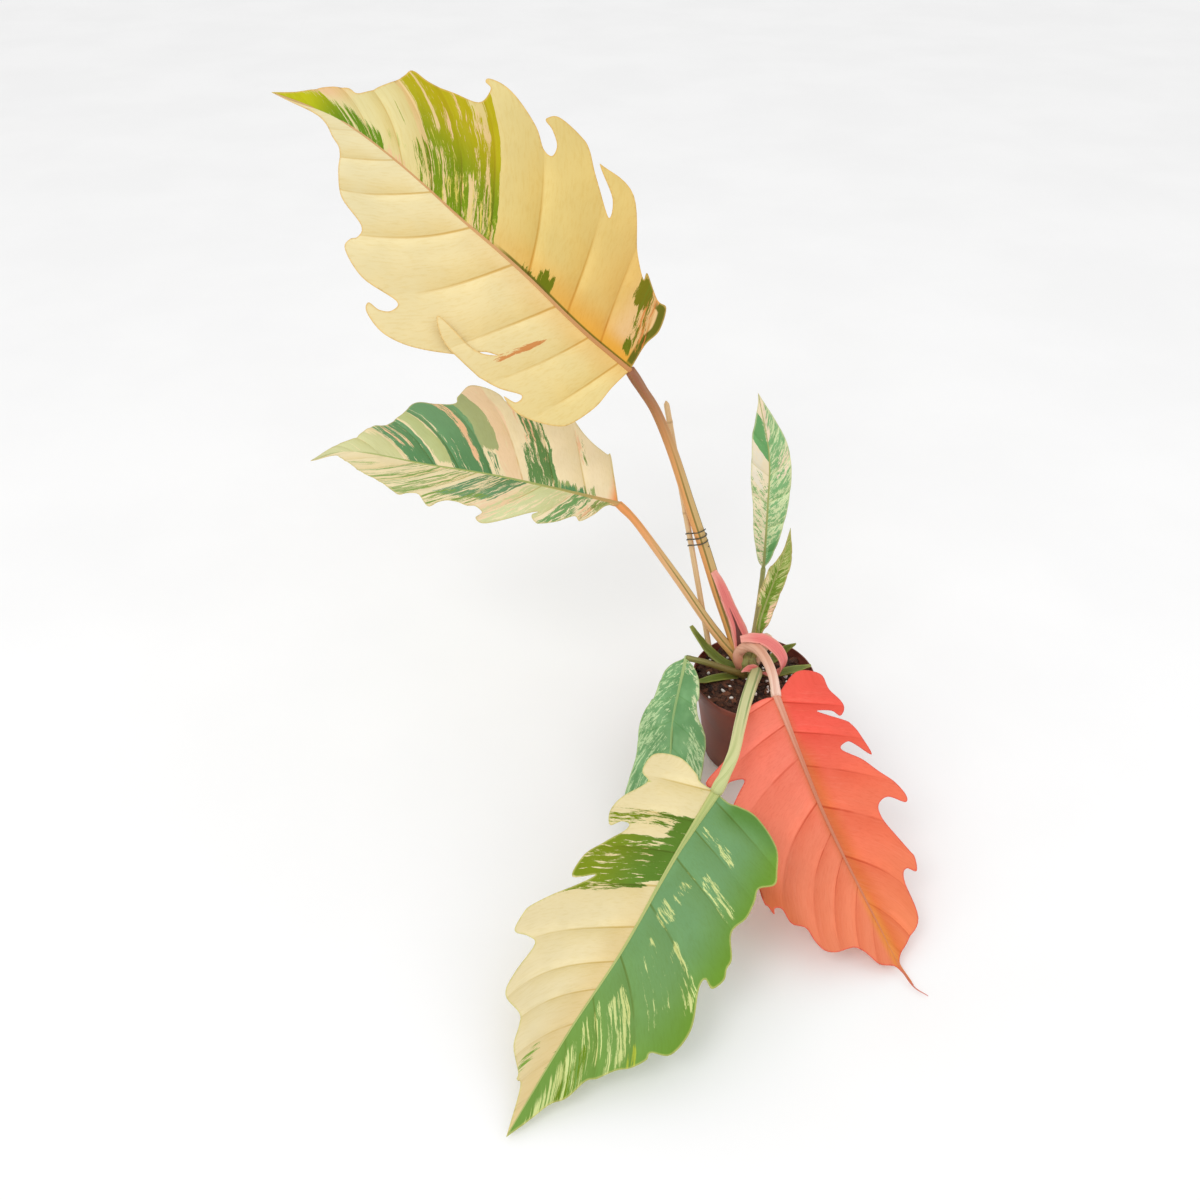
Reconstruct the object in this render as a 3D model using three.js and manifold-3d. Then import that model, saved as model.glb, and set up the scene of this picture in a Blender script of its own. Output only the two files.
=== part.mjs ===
// A potted caramel marble philodendron: seven toothed leaves on grooved stalks round one short stem,
// in a 12 cm nursery pot of open bark soil, with a bamboo stick and a wire tie for the tallest leaf.
// Millimetres, +Z up. The origin is the middle of the pot's flat base.
import * as THREE from "three";
import { mergeVertices } from "three/addons/utils/BufferGeometryUtils.js";
import Module from "manifold-3d";

const wasm = await Module();
wasm.setup();

// Driving dimensions
const GAP = 0.3; // clearance between pieces that touch
const BLADE = 0.9; // thickness of a leaf blade
const POT = { rimRadius: 60, rimHeight: 9, lip: 2.2, baseRadius: 43, height: 100, wall: 1.6, floor: 2.4 };
const SOIL_TOP = 94;
const SOIL_LUMP = 2.2; // how far the bark lumps rise and sink
const CROWN = { x: -6, y: 14, foot: 58, top: 112, radius: 13 };
const STICK_RADIUS = 2.8;
const STICK_ROUTE = [[-24, 3, 20], [-89, 130, 331]];
const TIE = { wire: 0.6, turns: 3, pitch: 6, at: 0.6 };

// Outlines are lists of [along the midrib, out from it], and a route is a list of [x, y, z].
// face: which way the blade looks, at equal steps from its base to its tip.
// fold: degrees that each half rises from the midrib. curl: radians that a half bends back per leaf length.
// stalk: the petiole's route up to the blade. radii: the petiole at its foot and at the blade.
const LEAVES = {
  tall_cream: {
    colour: 0xeed9a0, stalkColour: 0xc28a5c, cell: 36,
    rib: [[-125, 84, 385], [-169, 92, 421], [-220, 106, 468], [-269, 120, 507], [-317, 136, 546],
      [-366, 152, 577], [-412, 174, 588]],
    face: [[0.05, -0.75, 0.66], [0, -0.8, 0.6], [-0.1, -0.7, 0.7]], fold: [10, 8, 4], curl: 0.25, tip: 385,
    right: [[3, 25], [1, 42], [8, 61], [18, 62], [41, 73], [41, 67], [65, 82], [100, 111], [130, 111],
      [130, 108], [110, 96], [103, 83], [129, 100], [145, 113], [156, 116], [179, 115], [187, 109],
      [186, 106], [177, 104], [166, 97], [164, 88], [173, 88], [189, 97], [214, 103], [231, 104],
      [243, 100], [244, 96], [238, 94], [239, 80], [257, 72], [276, 67], [290, 66], [294, 55], [312, 27],
      [325, 25], [361, 9]],
    left: [[5, 24], [7, 46], [15, 69], [25, 82], [52, 94], [69, 91], [60, 88], [60, 80], [75, 88], [93, 93],
      [93, 68], [104, 74], [115, 87], [125, 94], [147, 106], [166, 114], [184, 117], [200, 112],
      [203, 105], [194, 104], [187, 98], [189, 89], [219, 93], [246, 85], [249, 76], [245, 70], [249, 61],
      [277, 53], [292, 38], [302, 22], [313, 16], [335, 5]],
    corners: [[93, 93], [93, 68]],
    flap: { from: 93, rise: 0.12, edge: [[93, 93], [114, 93.5], [135, 92], [150, 85], [155, 77], [122, 79],
      [106, 77], [93, 68]] },
    stalk: [[-7, 16, 88], [-15, 28, 111], [-24, 46, 132], [-35, 60, 159], [-48, 73, 196], [-65, 85, 243],
      [-84, 92, 299], [-100, 93, 339], [-113, 89, 363], [-125, 84, 385]],
    radii: [6.4, 4.3],
  },
  back_marbled: {
    colour: 0xb9bd92, stalkColour: 0xd9a968, cell: 36,
    rib: [[-134, 76, 250], [-197, 82, 264], [-257, 90, 274], [-317, 100, 279], [-390, 114, 285], [-434, 124, 269]],
    face: [[0, -0.2, 1], [0, -0.2, 1]], fold: [20, 18, 10], curl: 0.2, tip: 310,
    right: [[8, 25], [17, 50], [22, 50], [46, 64], [62, 79], [73, 84], [87, 88], [112, 81], [127, 81],
      [135, 88], [150, 93], [169, 95], [177, 82], [177, 73], [198, 71], [217, 69], [227, 51], [235, 37],
      [241, 33], [251, 30], [263, 15], [282, 9], [297, 5]],
    left: [[11, 10], [22, 35], [33, 53], [39, 46], [52, 62], [65, 74], [70, 75], [75, 63], [70, 54], [78, 59],
      [109, 91], [119, 87], [116, 75], [124, 65], [132, 67], [147, 63], [156, 69], [162, 78], [176, 60],
      [187, 59], [193, 64], [205, 55], [222, 43], [239, 35], [268, 13], [277, 5]],
    stalk: [[-8, 14, 86], [-16, 22, 104], [-30, 33, 117], [-46, 43, 135], [-75, 55, 176], [-105, 65, 218],
      [-120, 71, 237], [-134, 76, 250]],
    radii: [5.2, 3.4],
  },
  upright_slim: {
    colour: 0x8fae7c, stalkColour: 0xb5a468, cell: 33,
    rib: [[9, 64, 183], [8, 72, 247], [6, 84, 299], [-6, 102, 350]],
    face: [[0.1, -1, 0.2], [0.1, -1, 0.2]], fold: [15, 10], curl: 0.3, tip: 177,
    right: [[10, 6], [35, 13], [70, 19], [102, 20], [128, 17], [153, 9]],
    left: [[9, 6], [24, 10], [41, 13.5], [59, 15], [75, 16], [101, 19], [135, 15], [153, 8], [167, 2]],
    stalk: [[-3, 20, 92], [2, 34, 118], [6, 49, 146], [9, 64, 183]],
    radii: [4.2, 2.2],
  },
  upright_small: {
    colour: 0x7f9a4c, stalkColour: 0xa3a35c, cell: 36,
    rib: [[3, 18, 128], [4, 24, 147], [9, 31, 165], [16, 38, 188], [23, 44, 212], [28, 51, 240]],
    face: [[0.1, -1, 0.3], [0.1, -1, 0.3]], fold: [10, 10], curl: 0.3, tip: 120,
    right: [[1, 3], [10, 4], [18, 8], [29, 10], [47, 10], [85, 9]],
    left: [[1, 3], [34, 4], [35, 7], [41, 10], [49, 11], [76, 10], [81, 8], [96, 2]],
    stalk: [[-2, 14, 100], [1, 16, 114], [3, 18, 128]],
    radii: [3.6, 2.2],
  },
  coral: {
    colour: 0xef7d5f, stalkColour: 0xd9a892, cell: 36,
    rib: [[10, -68, 134], [25, -113, 112], [43, -159, 84], [64, -201, 56], [82, -230, 32], [101, -263, 8],
      [111, -281, 4]],
    face: [[0.1, -0.35, 0.9], [0.15, -0.4, 0.88], [0.2, -0.45, 0.87]], fold: [10, 6], curl: 0.3, tip: 271,
    right: [[0, 13], [5, 30], [15, 42], [42, 64], [61, 96], [68, 82], [65, 73], [67, 61], [78, 73], [93, 89],
      [105, 93], [115, 90], [125, 84], [156, 89], [162, 87], [168, 85], [165, 82], [168, 75], [179, 73],
      [187, 64], [200, 62], [212, 57], [218, 48], [223, 29], [243, 17], [252, 3]],
    left: [[-17, 25], [-9, 46], [8, 48], [25, 56], [34, 49], [27, 43], [24, 30], [39, 50], [45, 55], [61, 61],
      [77, 62], [64, 52], [59, 46], [64, 37], [78, 51], [92, 61], [108, 73], [124, 78], [131, 74], [120, 61],
      [124, 49], [138, 48], [171, 56], [181, 58], [192, 53], [186, 46], [192, 40], [225, 35], [238, 16], [249, 2]],
    stalk: [[-7, 10, 92], [-15, 12, 109], [-14, 14, 119], [-6, 10, 128], [1, -4, 135], [6, -26, 140],
      [9, -48, 140], [10, -68, 134]],
    radii: [5.6, 4.2],
  },
  front_halfmoon: {
    colour: 0x9db77e, stalkColour: 0xb7c084, cell: 36,
    rib: [[-53, -173, 122], [-91, -225, 98], [-133, -288, 66], [-176, -341, 34], [-221, -408, 6]],
    face: [[-0.1, -0.3, 0.95], [-0.1, -0.4, 0.9]], fold: [8, 4], curl: 0.25, tip: 312,
    right: [[0, 16], [-4, 22], [-9, 42], [0, 62], [19, 62], [25, 53], [46, 63], [61, 66], [71, 60], [64, 53],
      [63, 46], [70, 47], [84, 56], [102, 66], [122, 65], [111, 49], [128, 60], [145, 72], [164, 82],
      [174, 84], [190, 81], [187, 69], [189, 61], [213, 61], [230, 57], [235, 40], [242, 35], [257, 30],
      [270, 17], [275, 15], [278, 10]],
    left: [[4, 15], [3, 24], [4, 42], [18, 68], [36, 79], [46, 82], [56, 73], [68, 75], [84, 75], [100, 70],
      [117, 79], [125, 79], [133, 81], [142, 76], [139, 68], [148, 68], [171, 78], [193, 75], [201, 62],
      [208, 62], [221, 55], [229, 47], [242, 38], [249, 31], [266, 25], [277, 16], [295, 8]],
    stalk: [[-4, 8, 90], [1, -4, 106], [-8, -38, 124], [-21, -86, 143], [-30, -121, 149], [-38, -150, 144],
      [-47, -166, 133], [-53, -173, 122]],
    radii: [6.2, 4.8],
  },
  left_hanging: {
    colour: 0x6fa36c, stalkColour: 0x7c7f4c, cell: 36,
    rib: [[-67, 7, 116], [-74, -22, 108], [-82, -51, 88], [-84, -69, 66], [-93, -109, 40], [-106, -151, 20]],
    face: [[-0.4, -0.4, 0.8], [-0.5, -0.45, 0.75]], fold: [5, 5], curl: 0.3, tip: 193,
    right: [[2, 4], [17, 18], [47, 23], [52, 26], [78, 34], [102, 34], [129, 38], [150, 37], [177, 19]],
    left: [[15, 12], [30, 20], [44, 23.5], [49.5, 22], [64, 28], [71, 33], [85, 37], [125, 37], [139, 35],
      [154, 30], [170, 22]],
    stalk: [[-8, 9, 86], [-12, 0, 101], [-29, -1, 109], [-49, 2, 115], [-67, 7, 116]],
    radii: [3.8, 2.8],
  },
};

// Cataphylls: the small sheaths round the stem, each a strap along its own rib, with its half widths.
const SHEATHS = {
  pink_sheath: {
    colour: 0xf08d8c, half: [9, 10, 9.5, 8, 6, 3.5, 0.5], fold: [24, 12], curl: 6,
    rib: [[-6, 8, 97], [-10, 25, 116], [-16, 38, 133], [-25, 49, 151], [-33, 58, 168], [-40, 63, 180]],
    face: [[0.35, -0.85, 0.5], [0.35, -0.85, 0.5]],
  },
  pink_curl: {
    colour: 0xee7f78, half: [5, 6, 7, 7, 7, 6, 5, 3.5], fold: [12, 12], curl: 3,
    rib: [[2, 8, 97], [15, 2, 101], [24, -6, 112], [25, -6, 124], [19, 0, 133], [8, 6, 139], [-5, 10, 139],
      [-15, 11, 136]],
    face: [[0.2, -0.6, -0.8], [0.9, -0.5, 0.1], [0.3, -0.6, 0.8], [0, -0.5, 0.9]],
  },
  pink_scale: {
    colour: 0xd5605f, half: [4, 5, 3.5, 0.6], fold: [18, 10], curl: 4,
    rib: [[1, 2, 100], [-1, -2, 109], [-8, -5, 112], [-14, -7, 110]],
    face: [[0, -0.8, 0.4], [0, -0.5, 0.8]],
  },
  green_left_back: {
    colour: 0x5d7a2c, half: [4, 5, 5, 4, 2], fold: [14, 8], curl: 4,
    rib: [[-16, 14, 97], [-31, 23, 99], [-44, 32, 107], [-54, 42, 116], [-60, 49, 122]],
    face: [[0.3, -0.4, 0.9], [0.4, -0.4, 0.8]],
  },
  green_left_front: {
    colour: 0x7d8f2e, half: [3.5, 4, 4, 3, 1], fold: [14, 8], curl: 4,
    rib: [[-16, 4, 95], [-28, -1, 99], [-40, -6, 101], [-52, -12, 103], [-60, -15, 105]],
    face: [[0, -0.3, 1], [0, -0.3, 1]],
  },
  green_right_back: {
    colour: 0xb5bf68, half: [3, 5, 4, 0.6], fold: [20, 10], curl: 4,
    rib: [[12, 20, 96], [24, 26, 101], [32, 27, 109], [42, 24, 120]],
    face: [[-0.3, -0.6, 0.8], [-0.3, -0.6, 0.8]],
  },
  green_right_front: {
    colour: 0x8f9a45, half: [3, 4, 4, 1], fold: [14, 8], curl: 4,
    rib: [[9, 6, 96], [24, 4, 99], [40, 5, 103], [56, 6, 107]],
    face: [[0, -0.3, 1], [0, -0.3, 1]],
  },
};
const STUB = { route: [[0, 20, 96], [8, 27, 108], [14, 31, 118], [18, 31, 124]], radii: [6.5, 6.2], colour: 0xe6c4a6 };

// Solids

function toSolid(geometry) {
  geometry.deleteAttribute("normal");
  geometry.deleteAttribute("uv");
  const merged = mergeVertices(geometry, 1e-3);
  return new wasm.Manifold(new wasm.Mesh({
    numProp: 3,
    vertProperties: merged.attributes.position.array,
    triVerts: new Uint32Array(merged.index.array),
  }));
}

function toGeometry(solid) {
  const mesh = solid.getMesh();
  const geometry = new THREE.BufferGeometry();
  geometry.setAttribute("position", new THREE.BufferAttribute(new Float32Array(mesh.vertProperties), 3));
  geometry.setIndex(new THREE.BufferAttribute(new Uint32Array(mesh.triVerts), 1));
  geometry.computeVertexNormals();
  return geometry;
}

// The part of a solid that is left when its neighbours are cut away, without loose scraps.
function seat(solid, ...neighbours) {
  const cut = neighbours.reduce((left, neighbour) => left.subtract(neighbour), solid);
  return cut.decompose().reduce((a, b) => (b.volume() > a.volume() ? b : a));
}

function surface(points, faces) {
  const geometry = new THREE.BufferGeometry();
  geometry.setAttribute("position", new THREE.Float32BufferAttribute(points.flatMap((p) => [p.x, p.y, p.z]), 3));
  geometry.setIndex(faces.flat());
  return geometry;
}

function vectors(list) {
  return list.map((p) => new THREE.Vector3(...p));
}

// A value from a list spread at equal steps over 0 to 1.
function along(list, t) {
  const x = THREE.MathUtils.clamp(t, 0, 1) * (list.length - 1);
  const i = Math.min(Math.floor(x), list.length - 2);
  return THREE.MathUtils.lerp(list[i], list[i + 1], x - i);
}

// A closed round stalk along a route.
function stalk(route, radii, { sides = 8, step = 14, extra = 0 } = {}) {
  const curve = new THREE.CatmullRomCurve3(vectors(route), false, "catmullrom", 0.5);
  const steps = Math.max(3, Math.round(curve.getLength() / step));
  const frames = curve.computeFrenetFrames(steps);
  const points = [];
  const faces = [];
  for (let i = 0; i <= steps; i++) {
    const centre = curve.getPointAt(i / steps);
    const radius = along(radii, i / steps) + extra;
    for (let j = 0; j < sides; j++) {
      const angle = (2 * Math.PI * (j + 0.3)) / sides;
      points.push(centre.clone()
        .addScaledVector(frames.normals[i], radius * Math.cos(angle))
        .addScaledVector(frames.binormals[i], radius * Math.sin(angle)));
    }
  }
  for (let i = 0; i < steps; i++) {
    for (let j = 0; j < sides; j++) {
      const [a, b] = [i * sides + j, i * sides + ((j + 1) % sides)];
      faces.push([a, b, b + sides], [a, b + sides, a + sides]);
    }
  }
  for (let j = 1; j < sides - 1; j++) {
    faces.push([0, j + 1, j]);
    faces.push([steps * sides, steps * sides + j, steps * sides + j + 1]);
  }
  return toSolid(surface(points, faces));
}

// A blade's bent surface: where a point at [along, out, lift] of its flat outline lies.
function bladeForm({ rib, face, fold, curl }) {
  const curve = new THREE.CatmullRomCurve3(vectors(rib), false, "catmullrom", 0.5);
  const length = curve.getLength();
  const reach = 0.03 * length;
  const spine = (s) => {
    if (s >= 0 && s <= length) return curve.getPointAt(s / length);
    const end = s < 0 ? 0 : 1;
    return curve.getPointAt(end).addScaledVector(curve.getTangentAt(end), s < 0 ? s : s - length);
  };
  return {
    length,
    place([s, out, lift = 0]) {
      const t = THREE.MathUtils.clamp(s / length, 0, 1);
      const direction = spine(Math.min(t * length + reach, length)).sub(spine(Math.max(t * length - reach, 0)))
        .normalize();
      const up = new THREE.Vector3(...[0, 1, 2].map((k) => along(face.map((f) => f[k]), t)));
      up.addScaledVector(direction, -up.dot(direction)).normalize();
      const side = new THREE.Vector3().crossVectors(direction, up).multiplyScalar(Math.sign(out));
      const lean = THREE.MathUtils.degToRad(along(fold, t));
      const bend = (curl / length) * Math.abs(out);
      const across = ((Math.sin(lean) - Math.sin(lean - bend)) * length) / curl;
      const rise = ((Math.cos(lean - bend) - Math.cos(lean)) * length) / curl;
      return spine(s).addScaledVector(side, across).addScaledVector(up, rise + lift);
    },
  };
}

// A smooth line through the listed points of an outline. Its corners stay sharp.
function smooth(points, corners = [], pieces = 2) {
  const isCorner = (p) => corners.some((c) => c[0] === p[0] && Math.abs(c[1] - p[1]) < 1);
  const line = [];
  for (let i = 0; i < points.length - 1; i++) {
    const [b, c] = [points[i], points[i + 1]];
    const a = i === 0 || isCorner(b) ? b : points[i - 1];
    const d = i === points.length - 2 || isCorner(c) ? c : points[i + 2];
    const straight = isCorner(b) && isCorner(c);
    for (let k = 0; k < (straight ? 1 : pieces); k++) {
      const t = k / pieces;
      line.push([0, 1].map((n) => 0.5 * (2 * b[n] + (c[n] - a[n]) * t + (2 * a[n] - 5 * b[n] + 4 * c[n] - d[n]) * t ** 2
        + (3 * b[n] - a[n] - 3 * c[n] + d[n]) * t ** 3)));
    }
  }
  line.push(points[points.length - 1]);
  return line;
}

// Cuts a flat outline along the line where one of its coordinates has a value.
function split(ring, axis, value) {
  const nodes = [];
  ring.forEach((p, i) => {
    const q = ring[(i + 1) % ring.length];
    const [before, after] = [p[axis] - value, q[axis] - value];
    nodes.push({ p, crossing: false });
    if (before * after < 0) {
      const x = p.map((c, k) => c + ((q[k] - c) * before) / (before - after));
      x[axis] = value;
      nodes.push({ p: x, crossing: true });
    }
  });
  nodes.forEach((node, i) => { node.index = i; });
  const crossings = nodes.filter((n) => n.crossing).sort((a, b) => a.p[1 - axis] - b.p[1 - axis]);
  if (!crossings.length) return [ring];
  crossings.forEach((node, i) => { node.partner = crossings[i ^ 1]; });
  const rings = [];
  for (const start of nodes) {
    if (start.crossing || start.used) continue;
    const piece = [];
    let node = start;
    do {
      piece.push(node.p);
      if (node.crossing) {
        node = node.partner;
        piece.push(node.p);
      } else {
        node.used = true;
      }
      node = nodes[(node.index + 1) % nodes.length];
    } while (node !== start);
    rings.push(piece);
  }
  return rings;
}

// A thin solid blade: flat outlines cut into cells, bent by the form, and given a thickness.
function bladeSolid(form, outlines, cell, thickness) {
  const clear = 0.2; // no outline point lies nearer than this to a cut
  const cuts = [];
  for (let v = -cell * 20 + cell / 2; v < cell * 20; v += cell) cuts.push([0, v]);
  for (let v = -cell * 8; v < cell * 8; v += cell) cuts.push([1, v + (v < 0 ? 0 : cell)]);
  let rings = outlines.map((ring) => ring.map((p) => [...p]));
  for (const [axis, value] of cuts) {
    for (const p of rings.flat()) {
      if (Math.abs(p[axis] - value) < clear) p[axis] = value + clear;
    }
  }
  for (const [axis, value] of cuts) rings = rings.flatMap((ring) => split(ring, axis, value));

  const found = new Map();
  const flat = [];
  const triangles = [];
  const index = (p) => {
    const key = form.place(p).toArray().map((v) => v.toFixed(3)).join();
    if (!found.has(key)) found.set(key, flat.push(p) - 1);
    return found.get(key);
  };
  for (const ring of rings) {
    const ids = ring.map(index).filter((id, i, all) => id !== all[(i + 1) % all.length]);
    const contour = ids.map((id) => new THREE.Vector2(flat[id][0], flat[id][1]));
    for (const [a, b, c] of THREE.ShapeUtils.triangulateShape(contour, [])) {
      const facesUp = THREE.ShapeUtils.isClockWise([contour[a], contour[b], contour[c]]);
      triangles.push(facesUp ? [ids[a], ids[b], ids[c]] : [ids[a], ids[c], ids[b]]);
    }
  }
  const near = 0.5;
  const shift = ([s, out, lift = 0], ds, dout) => form.place([s + ds, out + dout, lift]);
  const normals = flat.map((p) => new THREE.Vector3().crossVectors(
    shift(p, 0, near).sub(shift(p, 0, -near)), shift(p, near, 0).sub(shift(p, -near, 0))).normalize());
  const count = flat.length;
  const points = [1, -1].flatMap((side) => flat.map((p, i) => form.place(p)
    .addScaledVector(normals[i], (side * thickness) / 2)));
  const edges = new Map();
  for (const t of triangles) {
    t.forEach((a, k) => edges.set(a + "_" + t[(k + 1) % 3], [a, t[(k + 1) % 3]]));
  }
  const faces = [...triangles, ...triangles.map(([a, b, c]) => [a + count, c + count, b + count])];
  for (const [a, b] of edges.values()) {
    if (!edges.has(b + "_" + a)) faces.push([b, a, a + count], [b, a + count, b + count]);
  }
  return toSolid(surface(points, faces));
}

function leafOutlines(leaf, extra) {
  const base = [-extra, 0];
  const tip = [leaf.tip, 0];
  const wider = (points) => points.map(([s, out]) => [s, out + extra]);
  const right = smooth([base, ...wider(leaf.right), tip]);
  const left = smooth([base, ...wider(leaf.left), tip], leaf.corners).map(([s, out]) => [s, -out]);
  const outlines = [right, left].map((line) => line.map((p) => [...p, 0]));
  if (leaf.flap) {
    const { from, rise, edge } = leaf.flap;
    outlines.push(smooth(edge).map(([s, out]) => [s, -out, rise * (s - from)]));
  }
  return outlines;
}

function leafBlade(leaf, extra = 0) {
  const form = bladeForm(leaf);
  const blade = bladeSolid(form, leafOutlines(leaf, extra), leaf.cell, BLADE + 2 * extra);
  const ribEnd = leaf.radii[1];
  const ribLine = [0, 0.12, 0.3, 0.5, 0.7, 0.9].map((t) => form.place([t * form.length, 0]));
  const midrib = stalk(ribLine.map((p) => p.toArray()), [ribEnd, 0.6 * ribEnd, 0.4 * ribEnd, 0.6],
    { sides: 6, step: 14, extra });
  return blade.add(midrib);
}

function sheathSolid({ rib, face, fold, curl, half }, extra = 0) {
  const form = bladeForm({ rib, face, fold, curl });
  const edge = half.map((width, i) => [(form.length * i) / (half.length - 1), width]);
  const outlines = [1, -1].map((side) => [
    ...smooth(edge, [], 2).map(([s, out]) => [s, side * out, 0]), [form.length, 0, 0], [0, 0, 0]]);
  return bladeSolid(form, outlines, 11, 1.2 + 2 * extra);
}

// Pot and soil

function lathe(profile, segments) {
  return toSolid(new THREE.LatheGeometry(profile.map(([r, z]) => new THREE.Vector2(r, z)), segments)
    .rotateX(Math.PI / 2));
}

function potSolid() {
  const { rimRadius, rimHeight, lip, baseRadius, height, wall, floor } = POT;
  const under = height - rimHeight;
  const neck = rimRadius - lip - 1;
  const shell = lathe([
    [0, 0], [baseRadius, 0], [neck, under], [rimRadius - 0.6, under], [rimRadius, under + 0.8],
    [rimRadius, height - 0.8], [rimRadius - 0.8, height], [rimRadius - 1.6, height - 0.8],
    [rimRadius - wall, under + 1], [neck - wall, under - 1], [baseRadius - wall, floor], [0, floor]], 48);
  const hole = (angle) => {
    const drill = new THREE.CylinderGeometry(5, 5, 3 * floor, 12).rotateX(Math.PI / 2);
    return toSolid(drill.translate(28 * Math.cos(angle), 28 * Math.sin(angle), 0));
  };
  return [0, 1, 2, 3, 4, 5].reduce((pot, k) => pot.subtract(hole((k * Math.PI) / 3)), shell);
}

// The bark lumps of the soil's top, the same at every build.
function lump(angle, r) {
  return SOIL_LUMP * (0.5 * Math.sin(7 * angle + r * 0.31) + 0.3 * Math.sin(13 * angle - r * 0.57)
    + 0.4 * Math.sin(r * 0.42 + 3 * Math.cos(2 * angle)));
}

function soilSolid() {
  const { rimRadius, baseRadius, wall, floor, rimHeight, height, lip } = POT;
  const under = height - rimHeight;
  const neck = rimRadius - lip - 1 - wall - GAP;
  const topRadius = neck - 0.2;
  const sectors = 30;
  const rings = 6;
  const points = [new THREE.Vector3(0, 0, SOIL_TOP)];
  for (let i = 1; i <= rings; i++) {
    for (let j = 0; j < sectors; j++) {
      const angle = (2 * Math.PI * j) / sectors;
      const r = (topRadius * i) / rings;
      const z = i < rings ? SOIL_TOP + lump(angle, r) : SOIL_TOP - 2;
      points.push(new THREE.Vector3(r * Math.cos(angle), r * Math.sin(angle), z));
    }
  }
  const wallRings = [[neck, under - 2], [baseRadius - wall - GAP, floor + GAP]];
  for (const [r, z] of wallRings) {
    for (let j = 0; j < sectors; j++) {
      const angle = (2 * Math.PI * j) / sectors;
      points.push(new THREE.Vector3(r * Math.cos(angle), r * Math.sin(angle), z));
    }
  }
  const bottom = points.push(new THREE.Vector3(0, 0, floor + GAP)) - 1;
  const faces = [];
  const levels = rings + wallRings.length;
  for (let j = 0; j < sectors; j++) {
    const k = (j + 1) % sectors;
    faces.push([0, 1 + j, 1 + k]);
    for (let i = 0; i < levels - 1; i++) {
      const [a, b] = [1 + i * sectors, 1 + (i + 1) * sectors];
      faces.push([a + j, b + j, b + k], [a + j, b + k, a + k]);
    }
    const last = 1 + (levels - 1) * sectors;
    faces.push([bottom, last + k, last + j]);
  }
  return toSolid(surface(points, faces));
}

function crownSolid(extra = 0) {
  const { x, y, foot, top, radius } = CROWN;
  const route = [[x - 2, y + 1, foot], [x - 1, y, foot + 18], [x, y, foot + 36], [x, y, top]];
  return stalk(route, [radius - 3, radius, radius, radius - 2, radius - 6], { sides: 10, step: 9, extra });
}

// Stick and tie

function stickSolid(extra = 0) {
  return stalk(STICK_ROUTE, [0.5, STICK_RADIUS, STICK_RADIUS, STICK_RADIUS, STICK_RADIUS],
    { sides: 8, step: 60, extra });
}

// Three turns of wire round the stick and the tallest leaf's stalk.
function tieSolid() {
  const stem = new THREE.CatmullRomCurve3(vectors(LEAVES.tall_cream.stalk), false, "catmullrom", 0.5);
  const stick = new THREE.Line3(...vectors(STICK_ROUTE));
  const onStick = stick.at(TIE.at, new THREE.Vector3());
  const samples = stem.getSpacedPoints(200);
  const onStem = samples.reduce((a, b) => (b.distanceTo(onStick) < a.distanceTo(onStick) ? b : a));
  const axis = stick.delta(new THREE.Vector3()).normalize();
  const across = onStem.clone().sub(onStick);
  const gap = across.length();
  const middle = onStick.clone().addScaledVector(across, 0.5);
  across.addScaledVector(axis, -across.dot(axis)).normalize();
  const other = new THREE.Vector3().crossVectors(axis, across);
  const [long, wide] = [gap / 2 + 9.2, 9];
  const perTurn = 12;
  const route = [];
  for (let i = 0; i <= TIE.turns * perTurn; i++) {
    const angle = (2 * Math.PI * i) / perTurn;
    route.push(middle.clone()
      .addScaledVector(across, long * Math.cos(angle))
      .addScaledVector(other, wide * Math.sin(angle))
      .addScaledVector(axis, (i / perTurn - TIE.turns / 2) * TIE.pitch).toArray());
  }
  return stalk(route, [TIE.wire, TIE.wire], { sides: 4, step: 4 });
}

// The plant, put together

const group = new THREE.Group();
group.name = "potted_caramel_marble_philodendron";

function add(name, solid, color, roughness = 0.5) {
  const mesh = new THREE.Mesh(toGeometry(solid), new THREE.MeshStandardMaterial({ color, roughness, metalness: 0 }));
  mesh.name = name;
  group.add(mesh);
}

const crownClear = crownSolid(GAP);
const stickClear = stickSolid(GAP);
add("pot", potSolid(), 0x8a4a36, 0.6);
add("stem", crownSolid(), 0x8c7a48);
add("bamboo_stick", stickSolid(), 0xe0bd85, 0.7);
add("wire_tie", tieSolid(), 0x2e3326);

const placed = [crownClear, stickClear];
for (const [name, leaf] of Object.entries(LEAVES)) {
  const blade = seat(leafBlade(leaf), ...placed);
  const bladeClear = leafBlade(leaf, 2 * GAP);
  const petiole = seat(stalk(leaf.stalk, leaf.radii), bladeClear, ...placed);
  placed.push(bladeClear, stalk(leaf.stalk, leaf.radii, { extra: GAP }));
  add("leaf_" + name, blade, leaf.colour);
  add("petiole_" + name, petiole, leaf.stalkColour);
}
add("petiole_stub", seat(stalk(STUB.route, STUB.radii, { step: 5 }), ...placed), STUB.colour);
placed.push(stalk(STUB.route, STUB.radii, { step: 5, extra: GAP }));
for (const [name, sheath] of Object.entries(SHEATHS)) {
  add(name, seat(sheathSolid(sheath), ...placed), sheath.colour);
  placed.push(sheathSolid(sheath, GAP));
}
add("soil", seat(soilSolid(), ...placed), 0x3a2018, 0.95);

export default group;
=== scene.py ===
"""The looks of a potted caramel marble philodendron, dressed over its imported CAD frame.

Seven toothed, marbled leaves on grooved stalks stand round one short stem in a nursery pot of open bark
soil, and a bamboo stick is wired to the tallest stalk. Each blade starts as its flat outline, which is
cut into a fine grid and bent onto the same form as its CAD solid. Blender works in metres, and the
plant's own numbers are in millimetres, so MM turns one into the other. +Z is up, and the origin is the
middle of the pot's flat base.
"""
import math
import random
from statistics import NormalDist

import bmesh
import bpy
from mathutils import Matrix, Vector, kdtree, noise


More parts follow.
